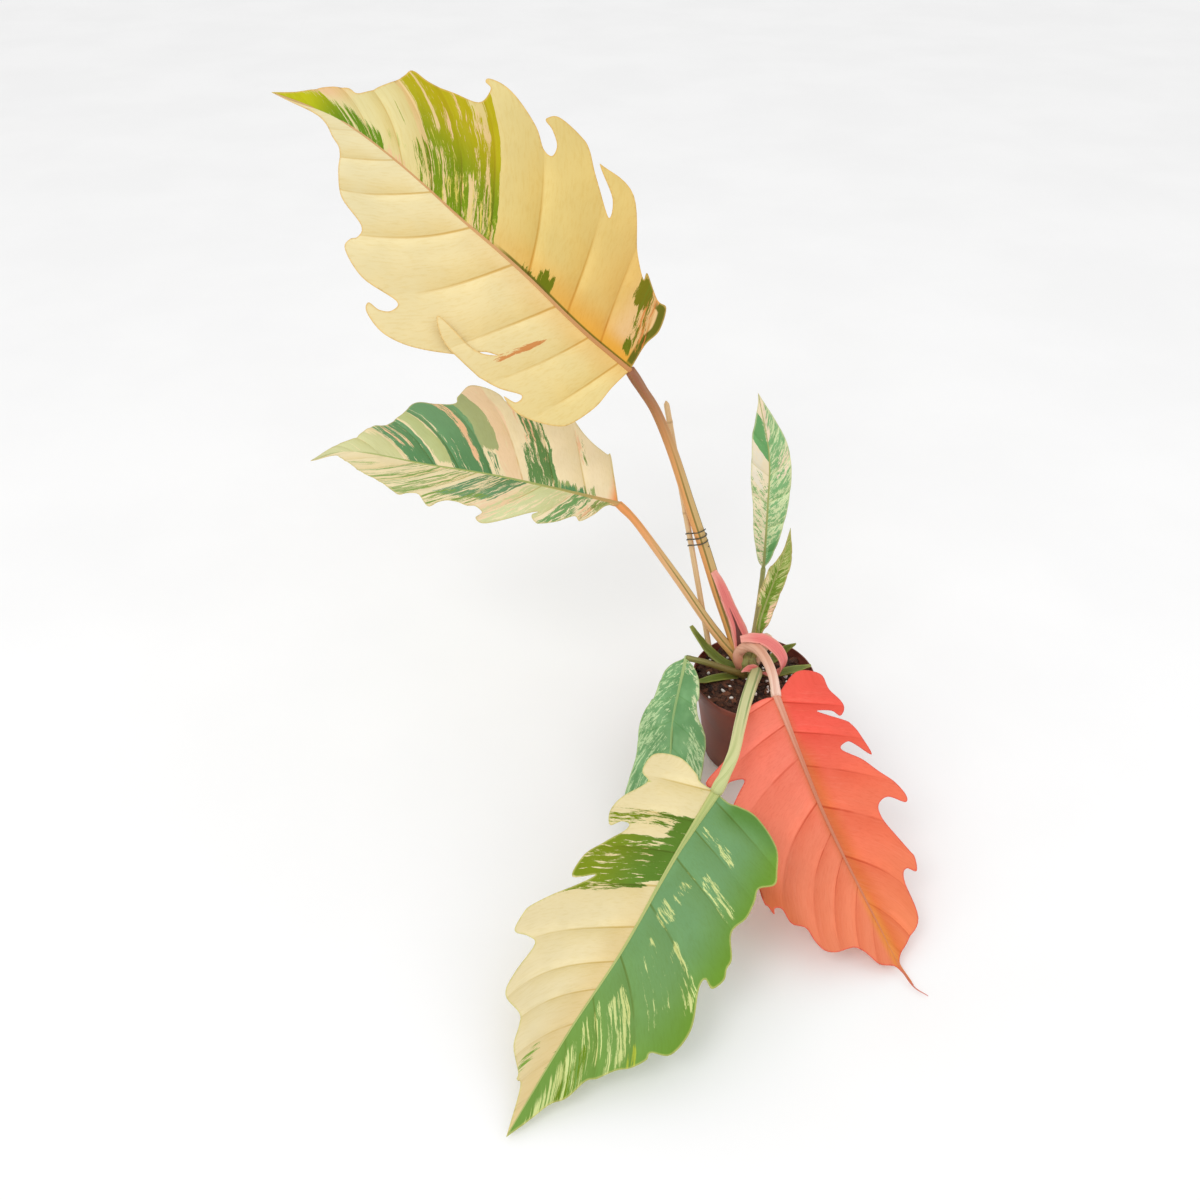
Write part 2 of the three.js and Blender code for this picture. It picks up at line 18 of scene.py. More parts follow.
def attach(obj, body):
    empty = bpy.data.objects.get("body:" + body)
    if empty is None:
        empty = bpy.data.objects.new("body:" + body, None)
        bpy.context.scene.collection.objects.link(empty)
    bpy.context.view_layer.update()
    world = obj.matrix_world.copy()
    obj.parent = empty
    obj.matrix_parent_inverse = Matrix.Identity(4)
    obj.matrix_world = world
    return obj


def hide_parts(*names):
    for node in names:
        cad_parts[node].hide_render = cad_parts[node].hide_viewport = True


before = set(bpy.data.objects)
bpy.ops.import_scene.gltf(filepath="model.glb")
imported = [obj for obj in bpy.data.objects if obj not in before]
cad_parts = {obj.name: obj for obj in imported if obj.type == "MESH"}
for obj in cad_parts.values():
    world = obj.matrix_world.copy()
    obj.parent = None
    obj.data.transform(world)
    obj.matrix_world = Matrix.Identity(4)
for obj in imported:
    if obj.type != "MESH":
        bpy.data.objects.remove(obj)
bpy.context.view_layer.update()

MM = 0.001

# The plant, as in its CAD source

def path(text):
    """The points of a line, written as their numbers with commas between the points."""
    return [tuple(float(number) for number in point.split()) for point in text.split(",")]


# Outlines are lists of (along the midrib, out from it). face is the way that the blade looks, at equal
# steps from base to tip. fold is the degrees that each half rises from the midrib, and curl the radians
# that a half bends back per blade length. stalk is the route up to the blade, radii its foot and its top.
LEAVES = {
    "tall_cream": {
        "rib": path("""-125 84 385, -169 92 421, -220 106 468, -269 120 507, -317 136 546, -366 152 577,
            -412 174 588"""),
        "face": [(0.05, -0.75, 0.66), (0, -0.8, 0.6), (-0.1, -0.7, 0.7)],
        "fold": [10, 8, 4], "curl": 0.25, "tip": 385, "radii": [6.4, 4.3],
        "right": path("""3 25, 1 42, 8 61, 18 62, 41 73, 41 67, 65 82, 100 111, 130 111, 130 108, 110 96,
            103 83, 129 100, 145 113, 156 116, 179 115, 187 109, 186 106, 177 104, 166 97, 164 88, 173 88,
            189 97, 214 103, 231 104, 243 100, 244 96, 238 94, 239 80, 257 72, 276 67, 290 66, 294 55,
            312 27, 325 25, 361 9"""),
        "left": path("""5 24, 7 46, 15 69, 25 82, 52 94, 69 91, 60 88, 60 80, 75 88, 93 93, 93 68, 104 74,
            115 87, 125 94, 147 106, 166 114, 184 117, 200 112, 203 105, 194 104, 187 98, 189 89, 219 93,
            246 85, 249 76, 245 70, 249 61, 277 53, 292 38, 302 22, 313 16, 335 5"""),
        "corners": [(93, 93), (93, 68)],
        "flap": {"from": 93, "rise": 0.12, "edge": path(
            "93 93, 114 93.5, 135 92, 150 85, 155 77, 122 79, 106 77, 93 68")},
        "stalk": path("""-7 16 88, -15 28 111, -24 46 132, -35 60 159, -48 73 196, -65 85 243, -84 92 299,
            -100 93 339, -113 89 363, -125 84 385"""),
    },
    "back_marbled": {
        "rib": path("-134 76 250, -197 82 264, -257 90 274, -317 100 279, -390 114 285, -434 124 269"),
        "face": [(0, -0.2, 1), (0, -0.2, 1)],
        "fold": [20, 18, 10], "curl": 0.2, "tip": 310, "radii": [5.2, 3.4],
        "right": path("""8 25, 17 50, 22 50, 46 64, 62 79, 73 84, 87 88, 112 81, 127 81, 135 88, 150 93,
            169 95, 177 82, 177 73, 198 71, 217 69, 227 51, 235 37, 241 33, 251 30, 263 15, 282 9, 297 5"""),
        "left": path("""11 10, 22 35, 33 53, 39 46, 52 62, 65 74, 70 75, 75 63, 70 54, 78 59, 109 91,
            119 87, 116 75, 124 65, 132 67, 147 63, 156 69, 162 78, 176 60, 187 59, 193 64, 205 55, 222 43,
            239 35, 268 13, 277 5"""),
        "stalk": path("""-8 14 86, -16 22 104, -30 33 117, -46 43 135, -75 55 176, -105 65 218,
            -120 71 237, -134 76 250"""),
    },
    "upright_slim": {
        "rib": path("9 64 183, 8 72 247, 6 84 299, -6 102 350"),
        "face": [(0.1, -1, 0.2), (0.1, -1, 0.2)],
        "fold": [15, 10], "curl": 0.3, "tip": 177, "radii": [4.2, 2.2],
        "right": path("10 6, 35 13, 70 19, 102 20, 128 17, 153 9"),
        "left": path("9 6, 24 10, 41 13.5, 59 15, 75 16, 101 19, 135 15, 153 8, 167 2"),
        "stalk": path("-3 20 92, 2 34 118, 6 49 146, 9 64 183"),
    },
    "upright_small": {
        "rib": path("3 18 128, 4 24 147, 9 31 165, 16 38 188, 23 44 212, 28 51 240"),
        "face": [(0.1, -1, 0.3), (0.1, -1, 0.3)],
        "fold": [10, 10], "curl": 0.3, "tip": 120, "radii": [3.6, 2.2],
        "right": path("1 3, 10 4, 18 8, 29 10, 47 10, 85 9"),
        "left": path("1 3, 34 4, 35 7, 41 10, 49 11, 76 10, 81 8, 96 2"),
        "stalk": path("-2 14 100, 1 16 114, 3 18 128"),
    },
    "coral": {
        "rib": path("10 -68 134, 25 -113 112, 43 -159 84, 64 -201 56, 82 -230 32, 101 -263 8, 111 -281 4"),
        "face": [(0.1, -0.35, 0.9), (0.15, -0.4, 0.88), (0.2, -0.45, 0.87)],
        "fold": [10, 6], "curl": 0.3, "tip": 271, "radii": [5.6, 4.2],
        "right": path("""0 13, 5 30, 15 42, 42 64, 61 96, 68 82, 65 73, 67 61, 78 73, 93 89, 105 93,
            115 90, 125 84, 156 89, 162 87, 168 85, 165 82, 168 75, 179 73, 187 64, 200 62, 212 57, 218 48,
            223 29, 243 17, 252 3"""),
        "left": path("""-17 25, -9 46, 8 48, 25 56, 34 49, 27 43, 24 30, 39 50, 45 55, 61 61, 77 62,
            64 52, 59 46, 64 37, 78 51, 92 61, 108 73, 124 78, 131 74, 120 61, 124 49, 138 48, 171 56,
            181 58, 192 53, 186 46, 192 40, 225 35, 238 16, 249 2"""),
        "stalk": path("""-7 10 92, -15 12 109, -14 14 119, -6 10 128, 1 -4 135, 6 -26 140, 9 -48 140,
            10 -68 134"""),
    },
    "front_halfmoon": {
        "rib": path("-53 -173 122, -91 -225 98, -133 -288 66, -176 -341 34, -221 -408 6"),
        "face": [(-0.1, -0.3, 0.95), (-0.1, -0.4, 0.9)],
        "fold": [8, 4], "curl": 0.25, "tip": 312, "radii": [6.2, 4.8],
        "right": path("""0 16, -4 22, -9 42, 0 62, 19 62, 25 53, 46 63, 61 66, 71 60, 64 53, 63 46, 70 47,
            84 56, 102 66, 122 65, 111 49, 128 60, 145 72, 164 82, 174 84, 190 81, 187 69, 189 61, 213 61,
            230 57, 235 40, 242 35, 257 30, 270 17, 275 15, 278 10"""),
        "left": path("""4 15, 3 24, 4 42, 18 68, 36 79, 46 82, 56 73, 68 75, 84 75, 100 70, 117 79,
            125 79, 133 81, 142 76, 139 68, 148 68, 171 78, 193 75, 201 62, 208 62, 221 55, 229 47, 242 38,
            249 31, 266 25, 277 16, 295 8"""),
        "stalk": path("""-4 8 90, 1 -4 106, -8 -38 124, -21 -86 143, -30 -121 149, -38 -150 144,
            -47 -166 133, -53 -173 122"""),
    },
    "left_hanging": {
        "rib": path("-67 7 116, -74 -22 108, -82 -51 88, -84 -69 66, -93 -109 40, -106 -151 20"),
        "face": [(-0.4, -0.4, 0.8), (-0.5, -0.45, 0.75)],
        "fold": [5, 5], "curl": 0.3, "tip": 193, "radii": [3.8, 2.8],
        "right": path("2 4, 17 18, 47 23, 52 26, 78 34, 102 34, 129 38, 150 37, 177 19"),
        "left": path("""15 12, 30 20, 44 23.5, 49.5 22, 64 28, 71 33, 85 37, 125 37, 139 35, 154 30,
            170 22"""),
        "stalk": path("-8 9 86, -12 0 101, -29 -1 109, -49 2 115, -67 7 116"),
    },
}

SHEATHS = {
    "pink_sheath": {
        "rib": path("-6 8 97, -10 25 116, -16 38 133, -25 49 151, -33 58 168, -40 63 180"),
        "face": [(0.35, -0.85, 0.5), (0.35, -0.85, 0.5)],
        "half": [9, 10, 9.5, 8, 6.5, 5.6, 5, 3.2], "fold": [24, 12], "curl": 6,
    },
    "pink_curl": {
        "rib": path("2 8 97, 15 2 101, 24 -6 112, 25 -6 124, 19 0 133, 8 6 139, -5 10 139, -15 11 136"),
        "face": [(0.2, -0.6, -0.8), (0.9, -0.5, 0.1), (0.3, -0.6, 0.8), (0, -0.5, 0.9)],
        "half": [5, 6, 7, 7, 7, 6, 5, 3.5], "fold": [12, 12], "curl": 3,
    },
    "pink_scale": {
        "rib": path("1 2 100, -1 -2 109, -8 -5 112, -14 -7 110"),
        "face": [(0, -0.8, 0.4), (0, -0.5, 0.8)],
        "half": [4, 5, 3.5, 0.6], "fold": [18, 10], "curl": 4,
    },
    "green_left_back": {
        "rib": path("-16 14 97, -31 23 99, -44 32 107, -54 42 116, -60 49 122"),
        "face": [(0.3, -0.4, 0.9), (0.4, -0.4, 0.8)],
        "half": [4, 5, 5, 4, 2], "fold": [14, 8], "curl": 4,
    },
    "green_left_front": {
        "rib": path("-16 4 95, -28 -1 99, -40 -6 101, -52 -12 103, -60 -15 105"),
        "face": [(0, -0.3, 1), (0, -0.3, 1)],
        "half": [3.5, 4, 4, 3, 1], "fold": [14, 8], "curl": 4,
    },
    "green_right_back": {
        "rib": path("12 20 96, 24 26 101, 32 27 109, 42 24 120"),
        "face": [(-0.3, -0.6, 0.8), (-0.3, -0.6, 0.8)],
        "half": [3, 5, 4, 0.6], "fold": [20, 10], "curl": 4,
    },
    "green_right_front": {
        "rib": path("9 6 96, 24 4 99, 40 5 103, 56 6 107"),
        "face": [(0, -0.3, 1), (0, -0.3, 1)],
        "half": [3, 4, 4, 1], "fold": [14, 8], "curl": 4,
    },
}

STUB = {"stalk": [(0, 20, 96), (8, 27, 108), (14, 31, 118), (18, 31, 124)], "radii": [6.5, 6.2]}
POT = {"rim": 60, "rim_height": 9, "lip": 2.2, "base": 43, "height": 100, "wall": 1.6, "floor": 2.4}
# The neck is the pot's wall under its rim, and under the height of the rim's lower edge.
POT["neck"] = POT["rim"] - POT["lip"] - 1
POT["under"] = POT["height"] - POT["rim_height"]
DRAIN = {"holes": 6, "ring": 28, "radius": 5}
SOIL_TOP, SOIL_GAP = 94, 0.3
BARK_CHUNKS, PERLITE_GRAINS = 620, 46
CROWN = {"x": -6, "y": 14, "foot": 58, "top": 112, "radius": 13}
STICK = {"foot": (-24, 3, 20), "top": (-89, 130, 331), "radius": 2.8, "joints": (0.36, 0.68, 0.94)}
TIE = {"wire": 0.6, "turns": 3, "pitch": 6, "at": 0.6}
# The thin tail that the coral leaf's tip draws out into.
TAIL = {"route": path("98 -259 9, 101 -263 8, 105 -271 5.5, 111 -282 3.5, 121 -289 2"),
        "radii": [1.6, 0.9, 0.6, 0.35]}
# The cells that blades and sheaths are cut into, and how thick they are.
BLADE_CELL, BLADE_WALL = 2.5, 0.7
SHEATH_CELL, SHEATH_WALL = 1.2, 1.1
UP = Vector((0, 0, 1))

# Lines and forms

def vectors(points):
    return [Vector(p) * MM for p in points]


def through(points, pieces=24, corners=()):
    """A smooth line through the points. It stays sharp at the corners, and straight between two of them."""
    line = []
    last = len(points) - 1
    for i in range(last):
        b, c = points[i], points[i + 1]
        a = points[i - 1] if i > 0 else 2 * b - c
        d = points[i + 2] if i + 2 <= last else 2 * c - b
        if i in corners:
            a = b
        if i + 1 in corners:
            d = c
        straight = i in corners and i + 1 in corners
        for k in range(1 if straight else pieces):
            t = k / pieces
            line.append(0.5 * (2 * b + (c - a) * t + (2 * a - 5 * b + 4 * c - d) * t * t
                               + (3 * b - a - 3 * c + d) * t ** 3))
    return [*line, points[-1]]


def along(values, t):
    """A value from a list spread at equal steps over 0 to 1."""
    x = min(max(t, 0), 1) * (len(values) - 1)
    i = min(int(x), len(values) - 2)
    return values[i] + (values[i + 1] - values[i]) * (x - i)


def smoothstep(low, high, value):
    t = min(max((value - low) / (high - low), 0), 1)
    return t * t * (3 - 2 * t)


class Route:
    """A smooth line through points, measured along itself. It goes straight on past both ends."""

    def __init__(self, points):
        self.line = through(vectors(points))
        self.marks = [0]
        for a, b in zip(self.line, self.line[1:]):
            self.marks.append(self.marks[-1] + (b - a).length)
        self.length = self.marks[-1]
        self.last = 0

    def at(self, s):
        i = self.last
        while i > 0 and self.marks[i] > s:
            i -= 1
        while i < len(self.marks) - 2 and self.marks[i + 1] < s:
            i += 1
        self.last = i
        a, b = self.line[i], self.line[i + 1]
        return a + (b - a) * ((s - self.marks[i]) / (self.marks[i + 1] - self.marks[i]))

    def heading(self, s):
        s, reach = min(max(s, 0), self.length), 0.03 * self.length
        ahead, behind = min(s + reach, self.length), max(s - reach, 0)
        return (self.at(ahead) - self.at(behind)).normalized()


class Form:
    """A blade's bent surface: where a point of its flat outline lies."""

    def __init__(self, leaf):
        self.rib = Route(leaf["rib"])
        self.face = [Vector(f) for f in leaf["face"]]
        self.fold = leaf["fold"]
        self.curl = leaf["curl"]
        self.known = {}

    def station(self, s):
        key = round(s, 6)
        if key not in self.known:
            length = self.rib.length
            t = s / length
            heading = self.rib.heading(s)
            up = along(self.face, t)
            up = (up - heading * up.dot(heading)).normalized()
            self.known[key] = (self.rib.at(s), up, heading.cross(up), math.radians(along(self.fold, t)))
        return self.known[key]

    def place(self, s, out, lift=0):
        start, up, side, lean = self.station(s)
        length = self.rib.length
        bend = self.curl / length * abs(out)
        across = (math.sin(lean) - math.sin(lean - bend)) * length / self.curl
        rise = (math.cos(lean - bend) - math.cos(lean)) * length / self.curl
        return start + side * math.copysign(across, out) + up * (rise + lift)


# Finishes

def tint(code):
    """A colour code, such as "#e8ba68", as the light that a shader works in."""
    def light(level):
        level /= 255
        return level / 12.92 if level <= 0.04045 else ((level + 0.055) / 1.055) ** 2.4
    return (*(light(int(code[k:k + 2], 16)) for k in (1, 3, 5)), 1.0)


class Field:
    """A number or colour that varies over a surface. Sums and products of fields are fields too."""

    def __init__(self, finish, socket):
        self.finish = finish
        self.socket = socket

    def sum_with(self, kind, *others):
        made = self.finish.node("ShaderNodeMath", operation=kind)
        for socket, value in zip(made.inputs, (self, *others)):
            self.finish.feed(socket, value)
        return Field(self.finish, made.outputs[0])

    def __add__(self, other):
        return self.sum_with("ADD", other)

    def __sub__(self, other):
        return self.sum_with("SUBTRACT", other)

    def __mul__(self, other):
        return self.sum_with("MULTIPLY", other)

    __radd__ = __add__
    __rmul__ = __mul__

    def size(self):
        return self.sum_with("ABSOLUTE")

    def to_whole(self):
        """How far the nearest whole number is."""
        return 0.5 - (self.sum_with("FRACT") - 0.5).size()

    def __rsub__(self, other):
        return (self * -1) + other

    def ramp(self, low, high):
        """Rises smoothly from 0 at low to 1 at high, or falls where low is the larger."""
        made = self.finish.node("ShaderNodeMapRange", {"Value": self, "From Min": low, "From Max": high},
                                interpolation_type="SMOOTHSTEP")
        return Field(self.finish, made.outputs[0])


class Finish:
    """A procedural material, whose patterns are fields."""

    def __init__(self, name):
        self.material = bpy.data.materials.new(name)
        self.material.use_nodes = True
        self.tree = self.material.node_tree
        self.shader = self.tree.nodes["Principled BSDF"]

    def feed(self, socket, value):
        if isinstance(value, Field):
            self.tree.links.new(value.socket, socket)
        else:
            socket.default_value = tint(value) if isinstance(value, str) else value

    def node(self, kind, inputs=None, **settings):
        made = self.tree.nodes.new(kind)
        for name, value in settings.items():
            setattr(made, name, value)
        for name, value in (inputs or {}).items():
            self.feed(made.inputs[name], value)
        return made

    def parts(self, vector):
        made = self.node("ShaderNodeSeparateXYZ", {"Vector": vector})
        return [Field(self, socket) for socket in made.outputs]

    def uv(self, name):
        """The two numbers of one of the piece's UV maps."""
        return self.parts(Field(self, self.node("ShaderNodeUVMap", uv_map=name).outputs[0]))[:2]

    def attribute(self, name):
        made = self.node("ShaderNodeAttribute", attribute_name=name)
        return self.parts(Field(self, made.outputs["Vector"]))

    def place(self):
        """Where a point of the surface is, in metres."""
        return self.parts(Field(self, self.node("ShaderNodeTexCoord").outputs["Object"]))

    def noise(self, x, y, z=0, detail=3, rough=0.55):
        """Smooth noise, from about 0.2 to 0.8, with one lump per unit."""
        spot = self.node("ShaderNodeCombineXYZ", {"X": x, "Y": y, "Z": z})
        made = self.node("ShaderNodeTexNoise", {
            "Vector": Field(self, spot.outputs[0]), "Scale": 1, "Detail": detail, "Roughness": rough})
        return Field(self, made.outputs[0])

    def layers(self, colour, *coats, kind="MIX"):
        """Lays coats over a colour, each an amount and a colour of its own."""
        for coat in coats:
            made = self.node("ShaderNodeMix", data_type="RGBA", blend_type=kind)
            for index, value in ((0, coat[0]), (6, colour), (7, coat[1])):
                self.feed(made.inputs[index], value)
            colour = Field(self, made.outputs[2])
        return colour

    def bump(self, height, distance, strength):
        made = self.node("ShaderNodeBump", {"Height": height, "Distance": distance, "Strength": strength})
        self.feed(self.shader.inputs["Normal"], Field(self, made.outputs[0]))

    def surface(self, colour, roughness, **others):
        self.feed(self.shader.inputs["Base Color"], colour)
        self.feed(self.shader.inputs["Roughness"], roughness)
        for name, value in others.items():
            self.feed(self.shader.inputs[name.replace("_", " ")], value)
        return self.material


# Pieces

def new_object(name, data):
    made = bpy.data.objects.new(name, data)
    bpy.context.scene.collection.objects.link(made)
    return made


def mesh_of(name, bm):
    mesh = bpy.data.meshes.new(name)
    bm.to_mesh(mesh)
    bm.free()
    return mesh


def piece(name, bm, material, nodes=(), thickness=None):
    """Makes a finished piece of a bmesh: it rides on the pot, and stands for its CAD nodes."""
    for face in bm.faces:
        face.smooth = True
    mesh = mesh_of(name, bm)
    mesh.materials.append(material)
    made = new_object(name, mesh)
    if thickness:
        wall = made.modifiers.new("wall", "SOLIDIFY")
        wall.thickness = thickness
        wall.offset = 0
        wall.use_even_offset = False
    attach(made, "root")
    if nodes:
        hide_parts(*nodes)
    return made


def cut(bm, axis, value):
    normal = Vector((axis == 0, axis == 1, axis == 2))
    bmesh.ops.bisect_plane(bm, geom=[*bm.verts, *bm.edges, *bm.faces], dist=1e-6,
                           plane_co=normal * value, plane_no=normal)


def cut_grid(bm, step):
    """Cuts a flat sheet into cells, and what is left at its rim into triangles."""
    for axis in (0, 1):
        reach = [v.co[axis] for v in bm.verts]
        value = (math.floor(min(reach) / step) + 0.5) * step
        while value < max(reach):
            cut(bm, axis, value)
            value += step
    bmesh.ops.triangulate(bm, faces=[f for f in bm.faces if len(f.verts) > 4])


def tube(sides, rings, route, top_of, radius_of):
    """A tube along a route. top_of gives the way that its angle 0 faces, radius_of its radius by angle."""
    bm = bmesh.new()
    skin = bm.verts.layers.float_vector.new("skin")
    bmesh.ops.create_cone(bm, cap_ends=True, segments=sides, radius1=1, radius2=1, depth=1,
                          matrix=Matrix.Translation((0, 0, 0.5)))
    for k in range(1, rings):
        cut(bm, 2, k / rings)
    for v in bm.verts:
        t = v.co.z
        angle = math.atan2(v.co.y, v.co.x)
        s = t * route.length
        heading = route.heading(s)
        top = top_of(s)
        top = (top - heading * top.dot(heading)).normalized()
        side = heading.cross(top)
        radius = radius_of(t, angle) * MM
        v[skin] = (math.cos(angle), math.sin(angle), s)
        v.co = route.at(s) + (top * math.cos(angle) + side * math.sin(angle)) * radius
    return bm


# Blades

# Where the lateral veins of each half leave the midrib, in leaf lengths from the stalk.
LATERAL_VEINS = {
    "tall_cream": {"right": [.09, .19, .31, .42, .5, .58, .66, .74],
                   "left": [.03, .12, .22, .35, .47, .58, .68, .78]},
    "back_marbled": {"right": [.1, .2, .3, .4, .5, .58, .66, .75],
                     "left": [.05, .14, .24, .34, .44, .54, .64, .74]},
    "upright_slim": {"right": [.1, .25, .4, .55, .7], "left": [.1, .25, .4, .55, .7]},
    "upright_small": {"right": [.1, .25, .4, .55, .7], "left": [.1, .25, .4, .55, .7]},
    "coral": {"right": [0, .1, .22, .375, .48, .56, .66, .76], "left": [.02, .13, .25, .39, .56, .72, .84]},
    "front_halfmoon": {"right": [.1, .2, .3, .42, .52, .6, .7, .8],
                       "left": [.02, .12, .21, .35, .5, .62, .74]},
    "left_hanging": {"right": [.1, .22, .35, .48, .6, .72], "left": [.1, .22, .35, .48, .6, .72]},
}


def vein_start(a, out):
    """Where the vein through a point leaves the midrib. All three are in leaf lengths."""
    a = max(a, 0)
    return a - abs(out) * (0.35 + 1.2 * a ** 2 + 1.5 * a ** 6)


def count_veins(starts, start):
    """How many lateral veins lie before a start, as a number that grows smoothly."""
    i = sum(s <= start for s in starts[1:-1])
    return i + (start - starts[i]) / (starts[i + 1] - starts[i])


def relief(veins, a, out, seed):
    """How far a blade swells between its veins, waves, and ripples at its margin."""
    start = vein_start(a, out)
    count = count_veins(veins["right" if out > 0 else "left"], start)
    to_vein = 0.5 - abs(count % 1 - 0.5)
    off_rib = smoothstep(0.01, 0.06, abs(out))
    swell = (1 - math.exp(-(to_vein / 0.14) ** 2)) * off_rib * (1 - abs(out) / 0.4)
    ripple = math.sin(math.tau * count + seed) * (out / 0.28) ** 2
    wave = noise.noise(Vector((4 * a, 4 * out, seed))) * smoothstep(0, 0.12, abs(out))
    return (1.9 * swell + 1.6 * ripple + 2.5 * wave) * MM


def flat_blade(bm, leaf):
    """The blade's outline laid flat, X along the midrib and Y to the leaf's left, as faces that share it."""
    rim = {}

    def corner(point, sign, lift=0):
        key = (round(point[0], 3), round(sign * point[1], 3))
        if key not in rim:
            rim[key] = bm.verts.new((point[0] * MM, sign * point[1] * MM, lift * MM))
        return rim[key]

    for side, sign in (("right", -1), ("left", 1)):
        outline = [Vector(p) for p in ((0, 0), *leaf[side], (leaf["tip"], 0))]
        sharp = [i for i, p in enumerate(outline) if sign > 0 and tuple(p) in leaf.get("corners", ())]
        bm.faces.new([corner(p, sign) for p in through(outline, 6, sharp)])
    if "flap" in leaf:
        flap = leaf["flap"]
        edge = through([Vector(p) for p in flap["edge"]], 6)
        bm.faces.new([corner(p, 1, flap["rise"] * (p[0] - flap["from"])) for p in edge])
    bm.normal_update()
    bmesh.ops.reverse_faces(bm, faces=[f for f in bm.faces if f.normal.z < 0])


def blade_piece(name, leaf, material, seed):
    bm = bmesh.new()
    flat_blade(bm, leaf)
    cut_grid(bm, BLADE_CELL * MM)
    blade = bm.loops.layers.uv.new("blade")
    veins = bm.loops.layers.uv.new("veins")
    length = leaf["tip"] * MM
    ribs = LATERAL_VEINS[name]
    for face in bm.faces:
        side = "left" if face.calc_center_median().y > 0 else "right"
        for loop in face.loops:
            a, out = loop.vert.co.x / length, -loop.vert.co.y / length
            start = vein_start(a, out)
            loop[blade].uv = (a, out)
            loop[veins].uv = (start, count_veins(ribs[side], start))
    rim = bm.verts.layers.float_vector.new("rim")
    edge = [v.co.copy() for v in bm.verts if v.is_boundary]
    near = kdtree.KDTree(len(edge))
    for number, point in enumerate(edge):
        near.insert(point, number)
    near.balance()
    form = Form(leaf)
    for v in bm.verts:
        v[rim] = (near.find(v.co)[2], 0, 0)
        s, out, lift = v.co.x, -v.co.y, v.co.z
        v.co = form.place(s, out, lift + relief(ribs, s / length, out / length, seed))
    piece("leaf_" + name, bm, material, ["leaf_" + name], thickness=BLADE_WALL * MM)


# Stalks, midribs and sheaths

def grooved(radius, angle, groove=0.16):
    """The radius of a leaf stalk: round, with a shallow groove between two low ridges at angle 0."""
    return radius * (1 - groove * math.exp(-(angle / 0.38) ** 2)
                     + 0.07 * math.exp(-((abs(angle) - 0.75) / 0.25) ** 2))


def towards_stem(route):
    """The way that a stalk's groove faces: up, and in towards the stem."""
    def top(s):
        inward = Vector((CROWN["x"] * MM, CROWN["y"] * MM, 0)) - route.at(s)
        inward.z = 0
        return UP + inward.normalized()
    return top


def stalk_piece(name, leaf, material, rounded=False):
    route = Route(leaf["stalk"])
    rings = max(12, round(route.length / (3 * MM)))

    def radius(t, angle):
        wide = along(leaf["radii"], t) * (1 + 0.14 * math.exp(-((t - 0.97) / 0.035) ** 2))
        if rounded:
            wide *= math.sqrt(max(1 - smoothstep(0.86, 1, t) ** 2, 0.04))
        return grooved(wide, angle)

    bm = tube(24, rings, route, towards_stem(route), radius)
    piece("petiole_" + name, bm, material, ["petiole_" + name])


# The half width of each midrib in millimetres, at equal steps from the stalk to the tip.
MIDRIB_WIDTHS = {
    "tall_cream": (2.4, 1.7, 1.4, 0.9, 0.7, 0.45), "back_marbled": (3.2, 1.8, 1.3, 1.1, 0.8, 0.5),
    "upright_slim": (2, 1.1, 0.9, 0.7, 0.5, 0.4), "upright_small": (2, 1.1, 0.9, 0.7, 0.5, 0.4),
    "coral": (3.9, 2.5, 1.8, 1.3, 0.9, 0.45), "front_halfmoon": (4.8, 2, 1.2, 0.9, 0.7, 0.45),
    "left_hanging": (2.1, 1.4, 1.25, 0.9, 0.6, 0.4),
}


def midrib_piece(name, leaf, material):
    """The midrib's raised line: low on the upper side of the blade, and full on the under side."""
    form = Form(leaf)
    length = leaf["tip"] * MM
    route = Route([form.place(t * length, 0, 0.3 * MM * smoothstep(0, 0.3, t)) / MM
                   for t in (-0.01, 0.06, 0.12, 0.2, 0.3, 0.4, 0.5, 0.6, 0.7, 0.8, 0.9, 0.99)])

    def radius(t, angle):
        return along(MIDRIB_WIDTHS[name], t) * (1 - 0.3 * max(math.cos(angle), 0) ** 2)

    bm = tube(16, 110, route, lambda s: form.station(s)[1], radius)
    piece("midrib_" + name, bm, material)


def sheath_piece(name, sheath, material):
    """A small curled sheath: a strap with its own half widths, cut into a grid and bent."""
    form = Form(sheath)
    length = form.rib.length
    half = sheath["half"]
    bm = bmesh.new()
    edge = through([Vector((i / (len(half) - 1), wide * MM)) for i, wide in enumerate(half)], 8)
    ring = [bm.verts.new((p.x * length, -p.y, 0)) for p in edge]
    ring += [bm.verts.new((p.x * length, p.y, 0)) for p in reversed(edge)]
    bm.faces.new(ring)
    cut(bm, 1, 0)
    cut_grid(bm, SHEATH_CELL * MM)
    blade = bm.loops.layers.uv.new("blade")
    for face in bm.faces:
        for loop in face.loops:
            at = loop.vert.co.x / length
            loop[blade].uv = (at, -loop.vert.co.y / (along(half, at) * MM + 1e-6))
    for v in bm.verts:
        crease = 0.35 * MM * math.sin(v.co.y / MM * 2.2) + 0.5 * MM * noise.noise(v.co * 120)
        v.co = form.place(v.co.x, -v.co.y, crease)
    piece(name, bm, material, [name], thickness=SHEATH_WALL * MM)


# The finishes of the leaves

# The limit of a zone that ends at the midrib.
RIB = -0.001
# How the noise of the streaks is spread, so that a zone can say how much of its ground it covers.
STREAK_SPREAD = NormalDist(0.5, 0.08)
# How strongly a zone calls the streaks up, and how wide their soft edge is.
ZONE_PULL, STREAK_EDGE = 0.6, 0.01
# The blade length, in millimetres, that the fineness of the streaks was matched on.
MATCHED_LENGTH = 340


